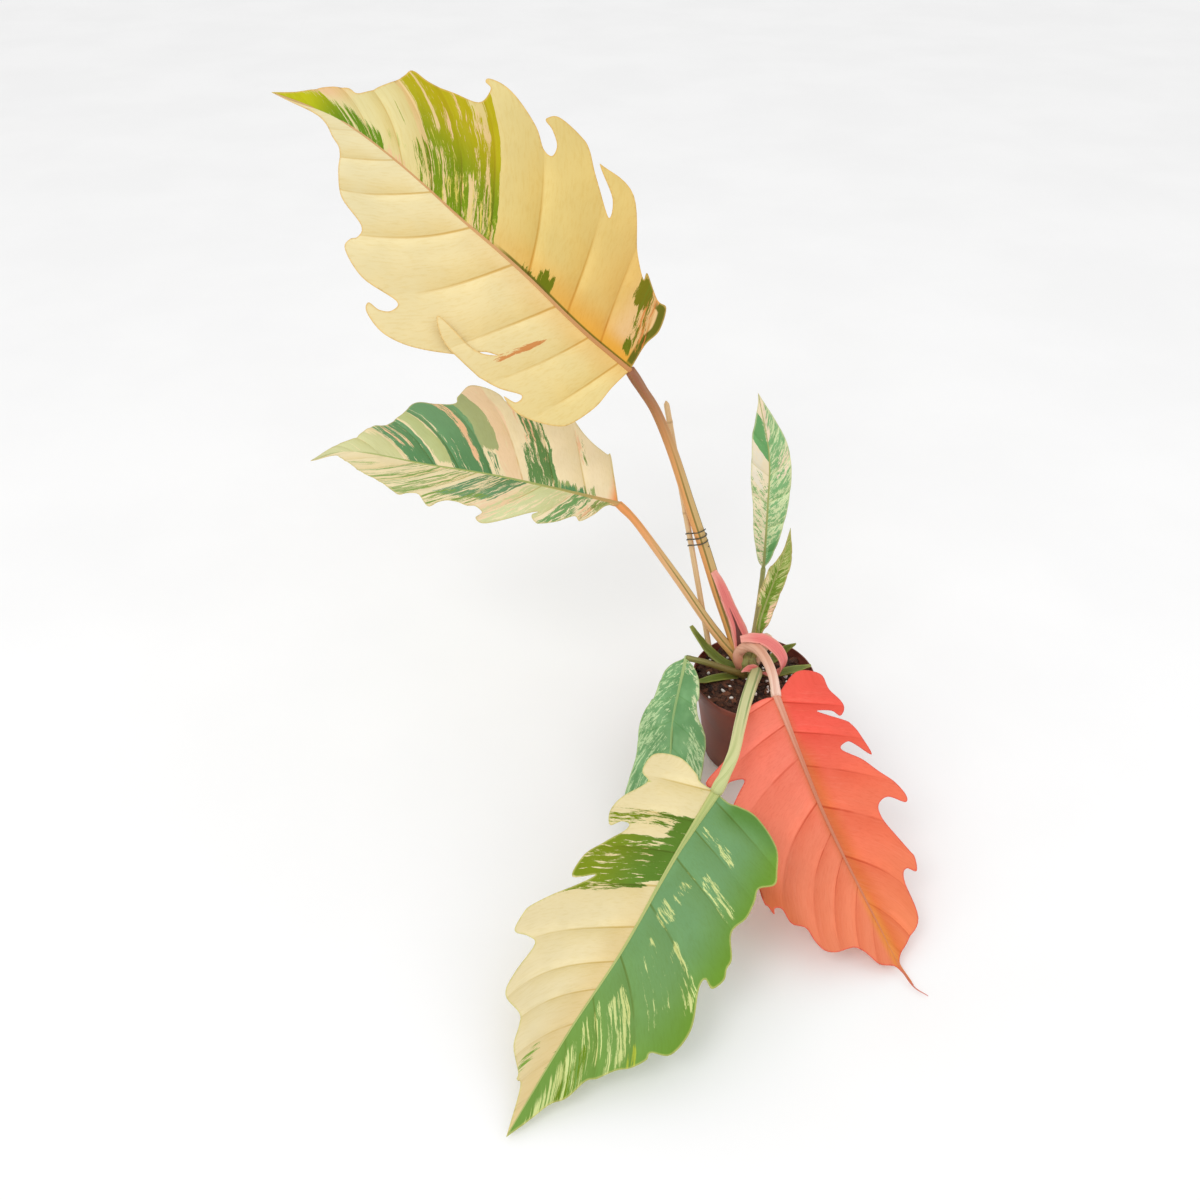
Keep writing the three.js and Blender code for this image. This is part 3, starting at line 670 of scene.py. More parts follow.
def marble(leaf, colour, zones):
    """Lays zones of streaks on a colour. A zone is (tint, veins from and to, out from and to, cover)."""
    for number, (coat, first, last, near, far, cover) in enumerate(zones):
        low, high = (0.001 if limit == RIB else 0.03 for limit in (near, far))
        inside = (leaf.vein.ramp(first - 0.008, first + 0.012) * leaf.vein.ramp(last + 0.018, last - 0.018)
                  * leaf.out.ramp(near - low, near + low) * leaf.out.ramp(far + high, far - high))
        level = STREAK_SPREAD.inv_cdf(1 - cover) + ZONE_PULL
        mask = (leaf.streaks[number % 3] + ZONE_PULL * inside).ramp(level - STREAK_EDGE, level + STREAK_EDGE)
        colour = leaf.layers(colour, (mask, coat))
    return colour


class BladeFields:
    """The fields that a blade's colours are made of, in leaf lengths. Right of the midrib, out is over 0."""

    def __init__(self, finish, seed, size, slant, reach):
        self.layers = finish.layers
        self.a, self.out = finish.uv("blade")
        start, self.count = finish.uv("veins")
        self.off = self.out.size()
        self.rim = finish.attribute("rim")[0]
        self.cloud = finish.noise(self.a * 9, self.out * 9, seed, detail=2)
        self.vein = start + (self.cloud - 0.5) * 0.025 - self.off * slant
        self.streaks = [finish.noise(self.vein * 115 * size, self.out * (size / reach), seed + 5 * k,
                                     detail=6, rough=0.78) for k in range(3)]


def blade_finish(name, length, seed, paint, slant, reach, dark, rim_tint):
    """A blade's paint and folds: painted shade on each vein's tip side, painted light before it."""
    finish = Finish("blade_" + name)
    leaf = BladeFields(finish, seed, length / MATCHED_LENGTH, slant, reach)
    deep = (*(level ** 2.4 for level in dark[:3]), 1)
    to_vein, step = leaf.count.to_whole(), leaf.count.sum_with("FRACT")
    # Masks of the folds' painted shade and highlight, and of the vein lines.
    open_blade = leaf.off.ramp(0, 0.04) * leaf.off.ramp(0.34, 0.1) * leaf.cloud.ramp(0.2, 0.6)
    line = to_vein.ramp(0.042, 0.006) * leaf.off.ramp(0.26, 0.02) * leaf.cloud.ramp(0.25, 0.5)
    grain = finish.noise(leaf.vein * 260, leaf.out * 60, seed, detail=4, rough=0.6)
    # Painted fold shade and highlight, vein lines partly painted crease shade, then random tone and grain.
    colour = finish.layers(
        paint(leaf), (step.ramp(0.65, 0) * open_blade * 0.55, dark),
        (step.ramp(0.7, 0.98) * open_blade * 0.65, (1.14, 1.15, 1.16, 1)),
        (line * leaf.a.ramp(1, 0.5) * 0.8, deep), (leaf.cloud.ramp(0.35, 0.75), (1.07, 1.07, 1.08, 1)),
        (grain.ramp(0.45, 0.7) * 0.3, dark), kind="MULTIPLY")
    colour = finish.layers(colour, (leaf.rim.ramp(1.8 * MM, 0.3 * MM) * 0.55, rim_tint))
    fine = (leaf.count * 7 + leaf.cloud * 3).to_whole()
    finish.bump(to_vein.ramp(0, 0.12) * 0.9 + fine.ramp(0, 0.4) * 0.07 + grain * 0.35, 0.9 * MM, 0.6)
    return finish.surface(colour, grain * 0.25 + 0.36, Specular_IOR_Level=0.16)


def paint_tall_cream(leaf):
    """Cream, warm along the midrib, with an olive sector on its right and a small one at its base."""
    a, out = leaf.a, leaf.out
    upper = leaf.layers("#dcb060", (a.ramp(0, 0.35), "#dac076"), (a.ramp(0.3, 0.9), "#dacf96"))
    lower = leaf.layers("#e4ce8c", (a.ramp(0, 0.35), "#e5d29c"), (a.ramp(0.35, 0.85), "#e1d4a6"))
    glow = leaf.off.ramp(0.085, 0) * a.ramp(0.6, 0.05) * (out.ramp(-0.01, 0.01) * 0.45 + 0.35)
    green = leaf.layers("#708a00", (out.ramp(0.05, 0.17), "#b2a600"))
    tip_green = leaf.layers("#628604", (a.ramp(0.8, 0.93), "#b8b804"))
    pink, dark_olive = "#e4be8e", "#687000"
    ground = leaf.layers(
        lower, (out.ramp(-0.004, 0.004), upper), (glow, "#e49e22"),
        (out.ramp(0.02, 0.045) * a.ramp(0.8, 0.88) * 0.8, "#e4b68a"),
        (a.ramp(0.13, 0.06) * out.ramp(0.02, 0.06) * 0.7, pink))
    ground = marble(leaf, ground, [
        ("#e0c48c", .404, .6, RIB, .2, .9), (green, .4, .48, RIB, .1, .68),
        (green, .475, .55, RIB, .13, .76), (green, .54, .6, RIB, .09, .66),
        (green, .402, .432, .025, .36, .995), (green, .425, .47, .035, .21, .66),
        (green, .425, .452, .15, .36, .35), (green, .452, .54, .07, .36, .985),
        (green, .535, .58, .06, .32, .93), (green, .585, .632, RIB, .075, .55),
        ("#d6c860", .4, .575, RIB, .12, .2), (green, .612, .64, .055, .12, .5),
        (pink, .5, .528, .09, .165, .85), (pink, .425, .56, .02, .3, .1),
        ("#bcbc70", .63, .705, .012, .06, .5), (pink, .64, .72, RIB, .03, .5),
        (tip_green, .7, .81, RIB, .045, .66), (tip_green, .79, 1.1, RIB, .045, .9),
        (dark_olive, .24, .335, RIB, .018, .99), (dark_olive, .242, .292, RIB, .046, .99),
    ])
    line = out.ramp(0.0105, 0.0075) * out.ramp(-0.001, 0.001) * a.ramp(0.42, 0.36)
    strip = leaf.rim.ramp(7.5 * MM, 6 * MM) * a.ramp(0.052, 0.036) * out.ramp(0.004, 0.016)
    ground = leaf.layers(ground, (line * leaf.cloud.ramp(0.2, 0.4) * 0.9, "#646210"), (strip, "#646410"))
    return marble(leaf, ground, [
        ("#747004", .004, .056, .11, .32, .99), (dark_olive, .014, .046, .018, .06, .985),
        ("#d88e50", -.02, .03, .02, .22, .4), ("#70760e", -.012, .05, .004, .21, .33),
        ("#ce8a4e", .146, .174, -.2, -.065, .8),
    ])


def paint_back_marbled(leaf):
    """Cream and pink, banded with blue green and khaki across its right half and flecked on its left."""
    ground = leaf.layers("#f0deb8", (leaf.a.ramp(0.05, 0.9), "#eedeb4"), (leaf.a.ramp(0.045, 0), "#ee8834"))
    green = leaf.layers("#5c8c5c", (leaf.off.ramp(0, 0.2), "#709c6e"))
    olive, pink, blush = "#628a50", "#f0c49c", "#f1d3ae"
    return marble(leaf, ground, [
        ("#96a868", .06, .2, RIB, .05, .6), (green, .095, .185, RIB, .035, .9),
        ("#789042", .07, .1, .08, .28, .4), (pink, .08, .11, .08, .24, .35),
        (olive, .18, .285, RIB, .15, .66), (olive, .185, .265, .06, .36, .56),
        (pink, .2, .28, .06, .3, .2), (blush, .29, .36, RIB, .34, .93),
        ("#a8b17c", .335, .43, .08, .35, .985), (green, .385, .52, RIB, .35, .91),
        (green, .352, .39, RIB, .1, .6), (pink, .405, .44, .025, .26, .7),
        ("#bcc68c", .508, .566, .01, .2, .985), (green, .56, .665, RIB, .16, .9),
        (pink, .6, .66, .03, .14, .4), ("#d0d19c", .665, 1, RIB, .09, .9),
        ("#889c50", -.01, .07, -.22, RIB, .5), (pink, -.01, .09, -.3, -.04, .3),
        ("#709e5c", .065, .14, -.28, RIB, .66), ("#d2d6a0", .135, .275, -.34, RIB, .78),
        (blush, .2, .33, -.34, -.06, .4), (green, .275, .425, -.19, RIB, .72),
        ("#80a04a", .275, .425, -.32, -.12, .4), ("#88a858", .425, .66, -.22, RIB, .36),
        ("#96b25c", .66, .72, -.16, -.03, .5),
    ])


def paint_coral(leaf):
    """Coral all over, more orange to the tip, and brown along the midrib."""
    a, out, off = leaf.a, leaf.out, leaf.off
    right = leaf.layers("#f37e68", (a.ramp(0.1, 0.8), "#e8825c"),
                        (a.ramp(0.42, 0.62) * out.ramp(0.2, 0.3), "#ce683a"))
    left = leaf.layers("#ec5c4c", (a.ramp(0.1, 0.45), "#ee7656"), (a.ramp(0.45, 0.9), "#ec8458"))
    return leaf.layers(
        left, (out.ramp(-0.004, 0.004), right),
        (off.ramp(0.07, 0) * a.ramp(0.12, 0.3) * out.ramp(0.02, -0.02), "#dc7034"),
        (off.ramp(0.035, 0) * a.ramp(0.75, 0.5) * 0.7, "#ce6c42"),
        (off.ramp(0.03, 0) * a.ramp(0.6, 0.8), "#e28c3e"),
        (leaf.streaks[0].ramp(0.5, 0.7) * 0.14, "#faa084"))


def paint_front_halfmoon(leaf):
    """Green on its left half, and cream with a dark green sector on its right."""
    a, off = leaf.a, leaf.off
    cream = leaf.layers("#e4d4a4", (a.ramp(0.1, 0.9), "#dfd0a4"),
                        (off.ramp(0.09, 0) * a.ramp(0.25, 0.5) * 0.5, "#d8b670"))
    green = leaf.layers("#709b66", (a.ramp(0.3, 0.8), "#719840"), (off.ramp(0.12, 0.26), "#689228"),
                        (a.ramp(0.1, 0.02) * off.ramp(0.02, 0.08), "#588438"))
    ground = leaf.layers(green, (leaf.out.ramp(-0.002, 0.002), cream))
    dark = leaf.layers("#587c24", (leaf.out.ramp(0.03, 0.18), "#788a0e"))
    fleck = "#ced88e"
    return marble(leaf, ground, [
        (dark, .084, .16, RIB, .055, .95), (dark, .14, .29, RIB, .06, .95),
        (dark, .088, .15, .015, .28, .5), (dark, .16, .318, .015, .32, .82),
        (dark, .3, .33, .07, .32, .5), ("#7a9e3c", .7, .785, .03, .075, .7),
        ("#60881e", .74, 1, RIB, .013, .7), ("#c0c270", 0, .022, .14, .2, .6),
        ("#bac068", -.02, .035, .01, .09, .2), (fleck, .08, .12, -.17, -.01, .5),
        (fleck, .16, .225, -.23, -.08, .36), (fleck, .2, .3, -.1, -.03, .22),
        (fleck, .295, .365, -.095, -.008, .48), (fleck, .33, .385, -.24, -.09, .38),
        (fleck, .385, .48, -.2, -.03, .1), (fleck, .5, .6, -.17, -.03, .42),
        ("#a8b83c", .48, .56, -.28, -.14, .42), (fleck, .59, .7, -.12, -.004, .3),
        (fleck, .69, .95, -.12, -.004, .46), ("#688810", .64, 1, -.14, -.03, .35),
    ])


def paint_left_hanging(leaf):
    """Green, flecked all over its right half and at its left margin."""
    ground = leaf.layers("#6a9a64", (leaf.cloud.ramp(0.4, 0.7), "#7ca974"))
    fleck, pale = "#bad4a0", "#ced9aa"
    return marble(leaf, ground, [
        (fleck, -.5, 1, .008, .3, .3), (fleck, -.5, 1, -.3, -.04, .08),
        (fleck, -.3, .35, .07, .3, .32), (pale, .1, .17, .006, .034, .8),
        (pale, 0, .3, RIB, .05, .2), (pale, .3, .36, .01, .044, .8),
        (pale, -.5, .22, -.3, -.07, .6), (pale, -.2, .1, -.14, RIB, .3),
        (fleck, .25, .9, -.25, -.08, .42),
    ])


def paint_upright_slim(leaf):
    """Cream and pink with green specks on one half, and green mottled with pale on the other."""
    ground = leaf.layers("#ead9b8", (leaf.out.ramp(-0.002, 0.002), "#7eae74"))
    green, pale = "#6aa062", "#cad6a4"
    return marble(leaf, ground, [
        ("#ced6a8", -.1, .45, -.3, RIB, .3), ("#84ac6c", -.1, .52, -.3, RIB, .34),
        ("#e4dac4", .42, .66, -.3, -.02, .7), (green, .62, .84, -.3, RIB, .95),
        (pale, .05, .86, RIB, .3, .46), ("#e8d4b6", .45, .6, .02, .3, .4),
        (green, -.2, .14, .01, .3, .94), ("#ead4b6", .72, 1.2, -.02, .035, .86),
        (green, .75, 1.2, .005, .3, .3),
    ])


def paint_upright_small(leaf):
    """Dark green along the middle, broken towards the margins, with cream and pink patches low down."""
    ground = leaf.layers("#c6c282", (leaf.a.ramp(0.45, 0.9), "#a0ae5e"))
    return marble(leaf, ground, [
        ("#688628", -.3, .62, -.05, .05, .88), ("#789436", -.3, 1, -.3, .3, .55),
        ("#f0caa8", -.4, .32, .025, .3, .66), ("#e6cea2", -.1, .5, -.3, -.03, .5),
        ("#d0d090", .5, 1, -.3, .3, .2),
    ])


# Tints of the stalks and midribs: foot, middle, top, and the streaks along them.
STALK_TINTS = {
    "tall_cream": ("#d8a054", "#e2a25e", "#985e3e", "#96703c"),
    "back_marbled": ("#dea252", "#e4b27c", "#e89650", "#b6924a"),
    "upright_slim": ("#968e54", "#b0a06a", "#96985a", "#787a40"),
    "upright_small": ("#968e54", "#a09c5c", "#a0a460", "#787a40"),
    "coral": ("#d08062", "#e6b296", "#f6d4c2", "#ce886c"),
    "front_halfmoon": ("#929258", "#ded59e", "#c8ce8e", "#92a658"),
    "left_hanging": ("#88763e", "#7c6c34", "#8c8c48", "#605a26"),
    "stub": ("#e2baa0", "#e8c09e", "#e8c8a6", "#ce9680"),
}
MIDRIB_TINTS = {
    "tall_cream": ("#c88a50", "#d4a26a", "#d0ac78", "#ba8042"),
    "back_marbled": ("#ce965a", "#a8b668", "#c6c88a", "#829e54"),
    "upright_slim": ("#96985a", "#aab066", "#babc78", "#828c50"),
    "upright_small": ("#a0a460", "#a8aa5e", "#b4b468", "#828c50"),
    "coral": ("#e2a48a", "#ce8060", "#e2863e", "#c46c4c"),
    "front_halfmoon": ("#c0c67c", "#bcc276", "#b0ba68", "#8ca454"),
    "left_hanging": ("#b4c684", "#9cbc78", "#88ac68", "#78a05c"),
}
# Tints of the groove: its two edge lines, and its floor.
GROOVE_TINTS = {
    "tall_cream": ("#7a7028", "#ceb074"), "back_marbled": ("#7e7428", "#d8ba7e"),
    "front_halfmoon": ("#7c9650", "#cece96"),
}


def stalk_finish(name, tints, length, rough=0.42, groove=None):
    """A stalk's skin: its tint changes along it, with streaks, freckles and, on some, a lined groove."""
    foot, middle, top, streak = tints
    finish = Finish(name)
    across, side, s = finish.attribute("skin")
    lines = finish.noise(across * 3.2, side * 3.2, s * 9, detail=4, rough=0.65)
    colour = finish.layers(foot, (s.ramp(0, 0.35 * length), middle), (s.ramp(0.6 * length, length), top),
                           (lines.ramp(0.52, 0.64) * 0.5, streak), (across.ramp(0.86, 0.99) * 0.35, streak))
    if groove:
        low = s.ramp(0.85 * length, 0.55 * length)
        colour = finish.layers(colour, (across.ramp(0.78, 0.9) * low * 0.8, groove[1]),
                               (across.ramp(0.6, 0.7) * across.ramp(0.9, 0.8) * low * 0.9, groove[0]))
    grain = finish.noise(across * 12, side * 12, s * 160)
    spots = finish.noise(across * 5, side * 5, s * 420, detail=2)
    finish.bump(lines * 0.7 + grain * 0.35, 0.5 * MM, 0.6)
    return finish.surface(finish.layers(colour, (spots.ramp(0.68, 0.74) * 0.3, streak)), grain * 0.2 + rough)


def sheath_finish(name, ground, edge, dark, slit=None):
    """A sheath's skin, lined along it. slit is (how far across, how far up, tint) of a gap painted as shadow.
    """
    finish = Finish(name)
    a, out = finish.uv("blade")
    lines = finish.noise(out * 7, a * 3, detail=4)
    # Paler margin and tip, dark lines along it, and painted shade towards its foot.
    colour = finish.layers(ground, (out.size().ramp(0.6, 1) * 0.7, edge), (a.ramp(0.8, 1) * 0.7, edge),
                           (lines.ramp(0.45, 0.7) * 0.45, dark), (a.ramp(0.3, 0) * 0.6, dark))
    if slit:
        middle, top, slit_shade_tint = slit
        width = a.ramp(top, 0) * 0.85 + 0.05
        # The slit's dark is painted shade of the sheath's hollow inside.
        gap = (width - (out - middle).size()).ramp(-0.02, 0.03) * a.ramp(top + 0.02, top - 0.03)
        colour = finish.layers(colour, (gap, slit_shade_tint))
    finish.bump(lines, 0.6 * MM, 0.5)
    return finish.surface(colour, 0.42)


# The pot, its soil and what stands in it

def pot_finish():
    """Moulded nursery plastic: red-brown, dull, with fine scuffs round the wall and dust low down."""
    finish = Finish("pot_plastic")
    x, y, z = finish.place()
    cloud = finish.noise(x * 22, y * 22, z * 22)
    scuffs = finish.noise(x * 90, y * 90, z * 900, detail=4)
    colour = finish.layers("#703628", (cloud.ramp(0.35, 0.7), "#864230"),
                           (scuffs.ramp(0.6, 0.75) * 0.25, "#b07862"),
                           (z.ramp(0.03, 0) * cloud.ramp(0.4, 0.6) * 0.3, "#966e5a"))
    finish.bump(scuffs + cloud * 2, 0.2 * MM, 0.4)
    return finish.surface(colour, cloud * 0.3 + 0.36)


def turned(profile, steps):
    """A closed round form, turned from a profile of (radius, height) in millimetres."""
    bm = bmesh.new()
    line = [bm.verts.new((r * MM, 0, z * MM)) for r, z in profile]
    edges = [bm.edges.new(pair) for pair in zip(line, line[1:])]
    bmesh.ops.spin(bm, geom=line + edges, axis=UP, cent=(0, 0, 0), angle=math.tau, steps=steps,
                   use_merge=True)
    bmesh.ops.remove_doubles(bm, verts=bm.verts, dist=1e-6)
    bmesh.ops.recalc_face_normals(bm, faces=bm.faces)
    return bm


def pot_piece():
    """The pot's wall, lip and base as one turned form, and then its drain holes cut out."""
    rim, height, wall, base, floor, neck, under = (
        POT[k] for k in ("rim", "height", "wall", "base", "floor", "neck", "under"))
    outside = [(0, 0.6), (base - 9, 0.6), (base - 7, 0), (base - 1.5, 0), (base, 1.5), (neck, under - 0.6),
               (neck + 0.4, under), (rim - 0.9, under + 0.1), (rim - 0.2, under + 0.7), (rim, height - 1.2),
               (rim - 0.3, height - 0.4), (rim - 1, height), (rim - 1.5, height - 0.5)]
    inside = [(rim - wall, height - 1.4), (rim - wall, under + 1), (neck - wall, under - 1),
              (base - wall, floor + 1), (base - wall - 1, floor), (0, floor)]
    made = piece("pot", turned(outside + inside, 144), pot_finish(), ["pot"])

    drills = bmesh.new()
    for k in range(DRAIN["holes"]):
        turn = Matrix.Rotation(k * math.tau / DRAIN["holes"], 4, "Z")
        bmesh.ops.create_cone(drills, cap_ends=True, segments=28, radius1=DRAIN["radius"] * MM,
                              radius2=DRAIN["radius"] * MM, depth=12 * MM,
                              matrix=turn @ Matrix.Translation((DRAIN["ring"] * MM, 0, 0)))
    cutter = new_object("drills", mesh_of("drills", drills))
    holes = made.modifiers.new("drain holes", "BOOLEAN")
    holes.object = cutter
    holes.solver = "EXACT"
    bpy.context.view_layer.update()
    drilled = bpy.data.meshes.new_from_object(made.evaluated_get(bpy.context.evaluated_depsgraph_get()))
    made.modifiers.clear()
    made.data = drilled
    drilled.name = "pot"
    bpy.data.objects.remove(cutter)


def soil_height(x, y):
    """The soil's top at a place in millimetres: low lumps that sink a little at the wall."""
    lumps = 1.8 * noise.noise(Vector((x / 14, y / 14, 3)))
    return SOIL_TOP - 0.6 + lumps - 1.6 * smoothstep(44, 56, math.hypot(x, y))


def bark_finish(name, dark, light, fleck):
    """Bark soil: every piece its own brown, with fibres and pale dust."""
    finish = Finish(name)
    x, y, z = finish.place()
    fibres = finish.noise(x * 500, y * 500, z * 1400, detail=5)
    finish.bump(fibres, 1.2 * MM, 0.9)
    return finish.surface(
        finish.layers(dark, (finish.attribute("own")[0], light), (fibres.ramp(0.5, 0.7) * 0.6, fleck)), 0.9)


def chunk(bm, own, centre, size, shade, rng):
    """One broken lump of bark or perlite, of its own shade."""
    turn = Matrix.Rotation(rng.uniform(0, math.tau), 4, "Z") @ Matrix.Rotation(rng.uniform(-0.6, 0.6), 4, "X")
    made = bmesh.ops.create_icosphere(bm, subdivisions=1, radius=0.5)["verts"]
    for v in made:
        v.co *= 1 + 0.5 * noise.noise(v.co * 3.1 + Vector((shade * 90, 0, 0)))
        v[own] = (shade, 0, 0)
    bmesh.ops.transform(bm, verts=made,
                        matrix=Matrix.Translation(centre) @ turn @ Matrix.Diagonal((*size, 1)))


def somewhere(rng, reach):
    """A place on the soil, in millimetres."""
    r, angle = reach * math.sqrt(rng.random()), rng.uniform(0, math.tau)
    return r * math.cos(angle), r * math.sin(angle)


def soil_pieces():
    """The bark mix, as one turned body with chunks on it, and the white perlite among them."""
    neck, base = (POT[k] - POT["wall"] - SOIL_GAP for k in ("neck", "base"))
    bed = POT["floor"] + 0.4
    bm = turned([*((neck * k / 22, SOIL_TOP - 0.6) for k in range(22)), (neck - 0.3, SOIL_TOP - 2.2),
                 (neck, POT["under"] - 2), (base, bed), (0, bed)], 96)
    own = bm.verts.layers.float_vector.new("own")
    for v in bm.verts:
        v[own] = (0.2, 0, 0)
        if v.co.z > (SOIL_TOP - 1) * MM:
            v.co.z = soil_height(v.co.x / MM, v.co.y / MM) * MM
    rng = random.Random(11)
    placed = 0
    while placed < BARK_CHUNKS:
        x, y = somewhere(rng, 54.5)
        if math.hypot(x - CROWN["x"], y - CROWN["y"]) < CROWN["radius"]:
            continue
        long = rng.uniform(4, 11)
        size = Vector((long, long * rng.uniform(0.4, 0.75), long * rng.uniform(0.25, 0.5))) * MM
        centre = Vector((x, y, soil_height(x, y) + rng.uniform(-0.6, 1.4))) * MM
        chunk(bm, own, centre, size, rng.random() ** 1.4, rng)
        placed += 1
    bark = bark_finish("bark_soil", "#261611", "#70442e", "#7a5842")
    soil = piece("bark_soil", bm, bark, ["soil"])
    for face in soil.data.polygons:
        face.use_smooth = False

    bm = bmesh.new()
    own = bm.verts.layers.float_vector.new("own")
    for _ in range(PERLITE_GRAINS):
        x, y = somewhere(rng, 53)
        most = 7 if rng.random() < 0.15 else 4.4
        size = Vector([rng.uniform(2, most) for _ in range(3)]) * MM
        chunk(bm, own, Vector((x, y, soil_height(x, y) + 1.6)) * MM, size, rng.random(), rng)
    piece("perlite", bm, bark_finish("perlite", "#e8e4dc", "#faf8f4", "#d6caba"))


def stem_piece():
    x, y, foot, top, radius = (CROWN[k] for k in ("x", "y", "foot", "top", "radius"))
    route = Route([(x - 2, y + 1, foot), (x - 1, y, foot + 18), (x, y, foot + 36), (x, y, top)])

    def wide(t, angle):
        size = along([radius - 3, radius, radius, radius - 1, radius - 5.5], t)
        rings = 0.5 * math.sin(t * 50 + 0.8 * math.sin(angle))
        return size + rings + noise.noise(Vector((math.cos(angle), math.sin(angle), t * 6)))

    bm = tube(40, 40, route, lambda s: Vector((1, 0, 0)), wide)
    skin = stalk_finish("stem_skin", ("#6e5c34", "#827640", "#969654", "#5a4228"), route.length, 0.5)
    piece("stem", bm, skin, ["stem"])


def stick_piece():
    """Split bamboo: a pointed foot, a domed top, and low joints."""
    route = Route([STICK["foot"], STICK["top"]])

    def wide(t, angle):
        point = STICK["radius"] * smoothstep(0, 0.05, t) + 0.3
        dome = math.sqrt(max(1 - smoothstep(0.985, 1, t) ** 2, 0.05))
        joints = sum(0.35 * math.exp(-((t - at) / 0.006) ** 2) for at in STICK["joints"])
        return min(point, STICK["radius"]) * dome + joints

    finish = Finish("bamboo")
    across, side, s = finish.attribute("skin")
    fibres = finish.noise(across * 9, side * 9, s * 14, detail=5, rough=0.7)
    joints = [((s - at * route.length).size().ramp(1.6 * MM, 0.4 * MM) * 0.5, "#aa8052")
              for at in STICK["joints"]]
    colour = finish.layers("#e4c496", (fibres.ramp(0.4, 0.65), "#cea876"),
                           (fibres.ramp(0.64, 0.72) * 0.6, "#9e764c"), *joints)
    finish.bump(fibres, 0.4 * MM, 0.6)
    bm = tube(20, 120, route, lambda s: UP, wide)
    piece("bamboo_stick", bm, finish.surface(colour, 0.55), ["bamboo_stick"])


def tie_piece():
    """Turns of dark wire, snug round the stick and the tallest stalk."""
    leaf = LEAVES["tall_cream"]
    stalk = Route(leaf["stalk"])
    foot, top = vectors([STICK["foot"], STICK["top"]])
    on_stick = foot.lerp(top, TIE["at"])
    at = min((stalk.length * k / 200 for k in range(201)), key=lambda s: (stalk.at(s) - on_stick).length)
    axis = (top - foot).normalized()
    across = stalk.at(at) - on_stick
    across = across - axis * across.dot(axis)
    gap = across.length
    across.normalize()
    side = axis.cross(across)
    wire = TIE["wire"] * MM
    stalk_radius = along(leaf["radii"], at / stalk.length) * 1.07
    held = ((0, STICK["radius"] * MM + wire), (gap, stalk_radius * MM + wire))
    line = []
    for i in range(TIE["turns"] * 36 + 1):
        angle = math.tau * i / 36
        centre, radius = max(held, key=lambda h: h[0] * math.cos(angle) + h[1])
        rise = (i / 36 - TIE["turns"] / 2) * TIE["pitch"] * MM
        line.append((on_stick + across * (centre + radius * math.cos(angle)) + side * radius * math.sin(angle)
                     + axis * rise) / MM)
    finish = Finish("tie_wire")
    x, y, s = finish.attribute("skin")
    wear = finish.noise(x * 2, y * 2, s * 300)
    colour = finish.layers("#34382c", (wear.ramp(0.45, 0.7), "#605c46"))
    bm = tube(8, 320, Route(line), lambda s: axis, lambda t, angle: TIE["wire"])
    piece("wire_tie", bm, finish.surface(colour, 0.4), ["wire_tie"])


def tail_piece():
    route = Route(TAIL["route"])
    bm = tube(12, 40, route, lambda s: UP, lambda t, angle: along(TAIL["radii"], t))
    skin = stalk_finish("coral_tail", ("#e28054", "#d67860", "#e29e96", "#be6046"), route.length)
    piece("tail_coral", bm, skin)


# The plant, put together

# What paints a blade, how much its streaks lean to the tip beyond its veins, how long they run, the tint of
# the painted shade in its folds (also of its vein lines and grain), and the tint of its margin.
PAINTS = {
    "tall_cream": (paint_tall_cream, 0, 0.08, (0.87, 0.76, 0.5, 1), "#e8ba68"),
    "back_marbled": (paint_back_marbled, 0, 0.1, (0.86, 0.82, 0.66, 1), "#d8c884"),
    "upright_slim": (paint_upright_slim, 0.5, 0.018, (0.9, 0.92, 0.84, 1), "#d8d8a4"),
    "upright_small": (paint_upright_small, 0.4, 0.03, (0.8, 0.8, 0.6, 1), "#c8ac6e"),
    "coral": (paint_coral, 0, 0.1, (0.84, 0.62, 0.5, 1), "#ec5c50"),
    "front_halfmoon": (paint_front_halfmoon, 0, 0.08, (0.86, 0.8, 0.58, 1), "#d8d07e"),
    "left_hanging": (paint_left_hanging, 0.5, 0.02, (0.9, 0.94, 0.87, 1), "#bace90"),
}

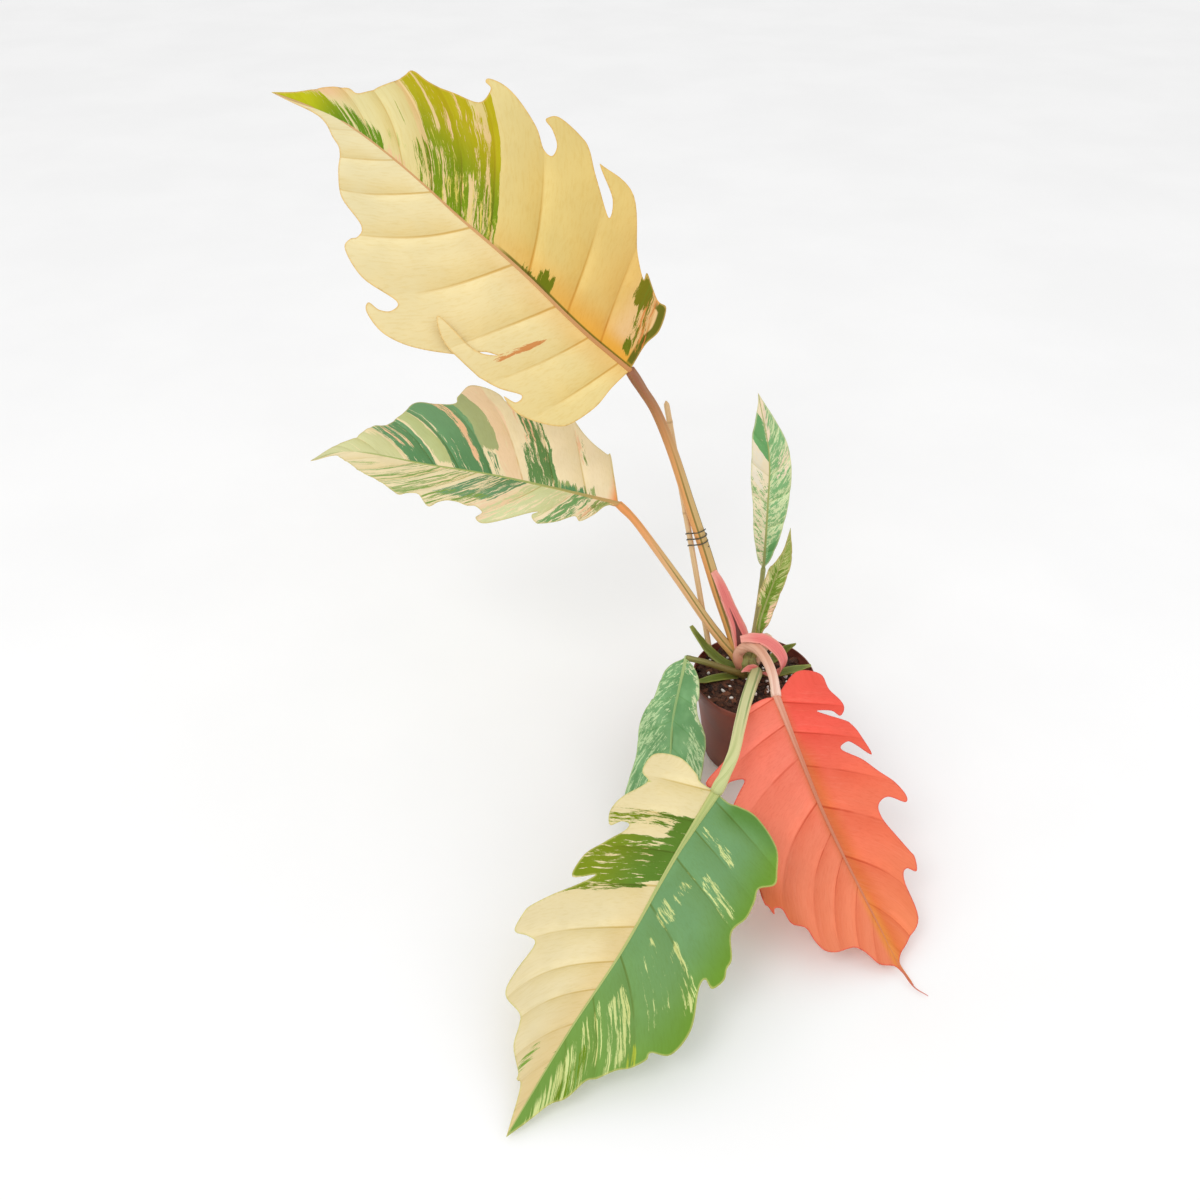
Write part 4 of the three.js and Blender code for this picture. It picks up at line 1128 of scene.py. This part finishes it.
for number, (name, leaf) in enumerate(LEAVES.items()):
    seed = 3.7 + 11 * number
    blade_piece(name, leaf, blade_finish(name, leaf["tip"], seed, *PAINTS[name]), seed)
    midrib_piece(name, leaf, stalk_finish("midrib_" + name, MIDRIB_TINTS[name], leaf["tip"] * MM))
    skin = stalk_finish("petiole_" + name, STALK_TINTS[name], Route(leaf["stalk"]).length,
                        groove=GROOVE_TINTS.get(name))
    stalk_piece(name, leaf, skin)
skin = stalk_finish("petiole_stub", STALK_TINTS["stub"], 30 * MM)
stalk_piece("stub", STUB, skin, rounded=True)

# Sheath tints: ground, margin, and the dark of its lines and of the painted shade at its foot.
pink_tints = "#ec807a", "#f8b29e", "#b83e3a"
pink = sheath_finish("pink_sheath", *pink_tints)
slit_pink = sheath_finish("slit_pink_sheath", *pink_tints, slit=(-0.15, 0.62, "#682c22"))
green = sheath_finish("green_sheath", "#6a7a28", "#9ea64e", "#4c5a1c")
for name, sheath in SHEATHS.items():
    if name.startswith("pink"):
        sheath_piece(name, sheath, slit_pink if name == "pink_sheath" else pink)
    else:
        sheath_piece(name, sheath, green)

tail_piece()
pot_piece()
soil_pieces()
stem_piece()
stick_piece()
tie_piece()

# The room

bm = bmesh.new()
bmesh.ops.create_grid(bm, x_segments=8, y_segments=8, size=6)
floor = new_object("ground", mesh_of("ground", bm))
finish = Finish("ground")
x, y, z = finish.place()
grey = finish.layers("#fafafa", (finish.noise(x * 3, y * 3).ramp(0.3, 0.7), "#fdfdfd"))
floor.data.materials.append(finish.surface(grey, 0.8, Specular_IOR_Level=0.1))

world = bpy.data.worlds.new("studio")
bpy.context.scene.world = world
world.use_nodes = True
sky = world.node_tree.nodes["Background"].inputs
sky["Color"].default_value = (1, 1, 1, 1)
sky["Strength"].default_value = 0.9


def soft_light(name, place, size, power):
    light = bpy.data.lights.new(name, "AREA")
    light.shape = "DISK"
    light.size = size
    light.energy = power
    made = new_object(name, light)
    made.location = place
    made.rotation_euler = (Vector((-0.1, 0, 0.2)) - Vector(place)).to_track_quat("-Z", "Y").to_euler()


soft_light("key", (-1.1, -1.3, 2.2), 1.1, 11)
soft_light("fill", (1.5, -0.9, 1.2), 1.4, 3)

camera = new_object("camera", bpy.data.cameras.new("camera"))
camera.location = (-0.1514, -0.8063, 0.8233)
camera.rotation_euler = (math.radians(52), 0, 0)
camera.data.sensor_width = 36
camera.data.lens = 33
camera.data.clip_start = 0.02
bpy.context.scene.camera = camera
bpy.context.scene.view_settings.view_transform = "Standard"

bpy.context.view_layer.update()
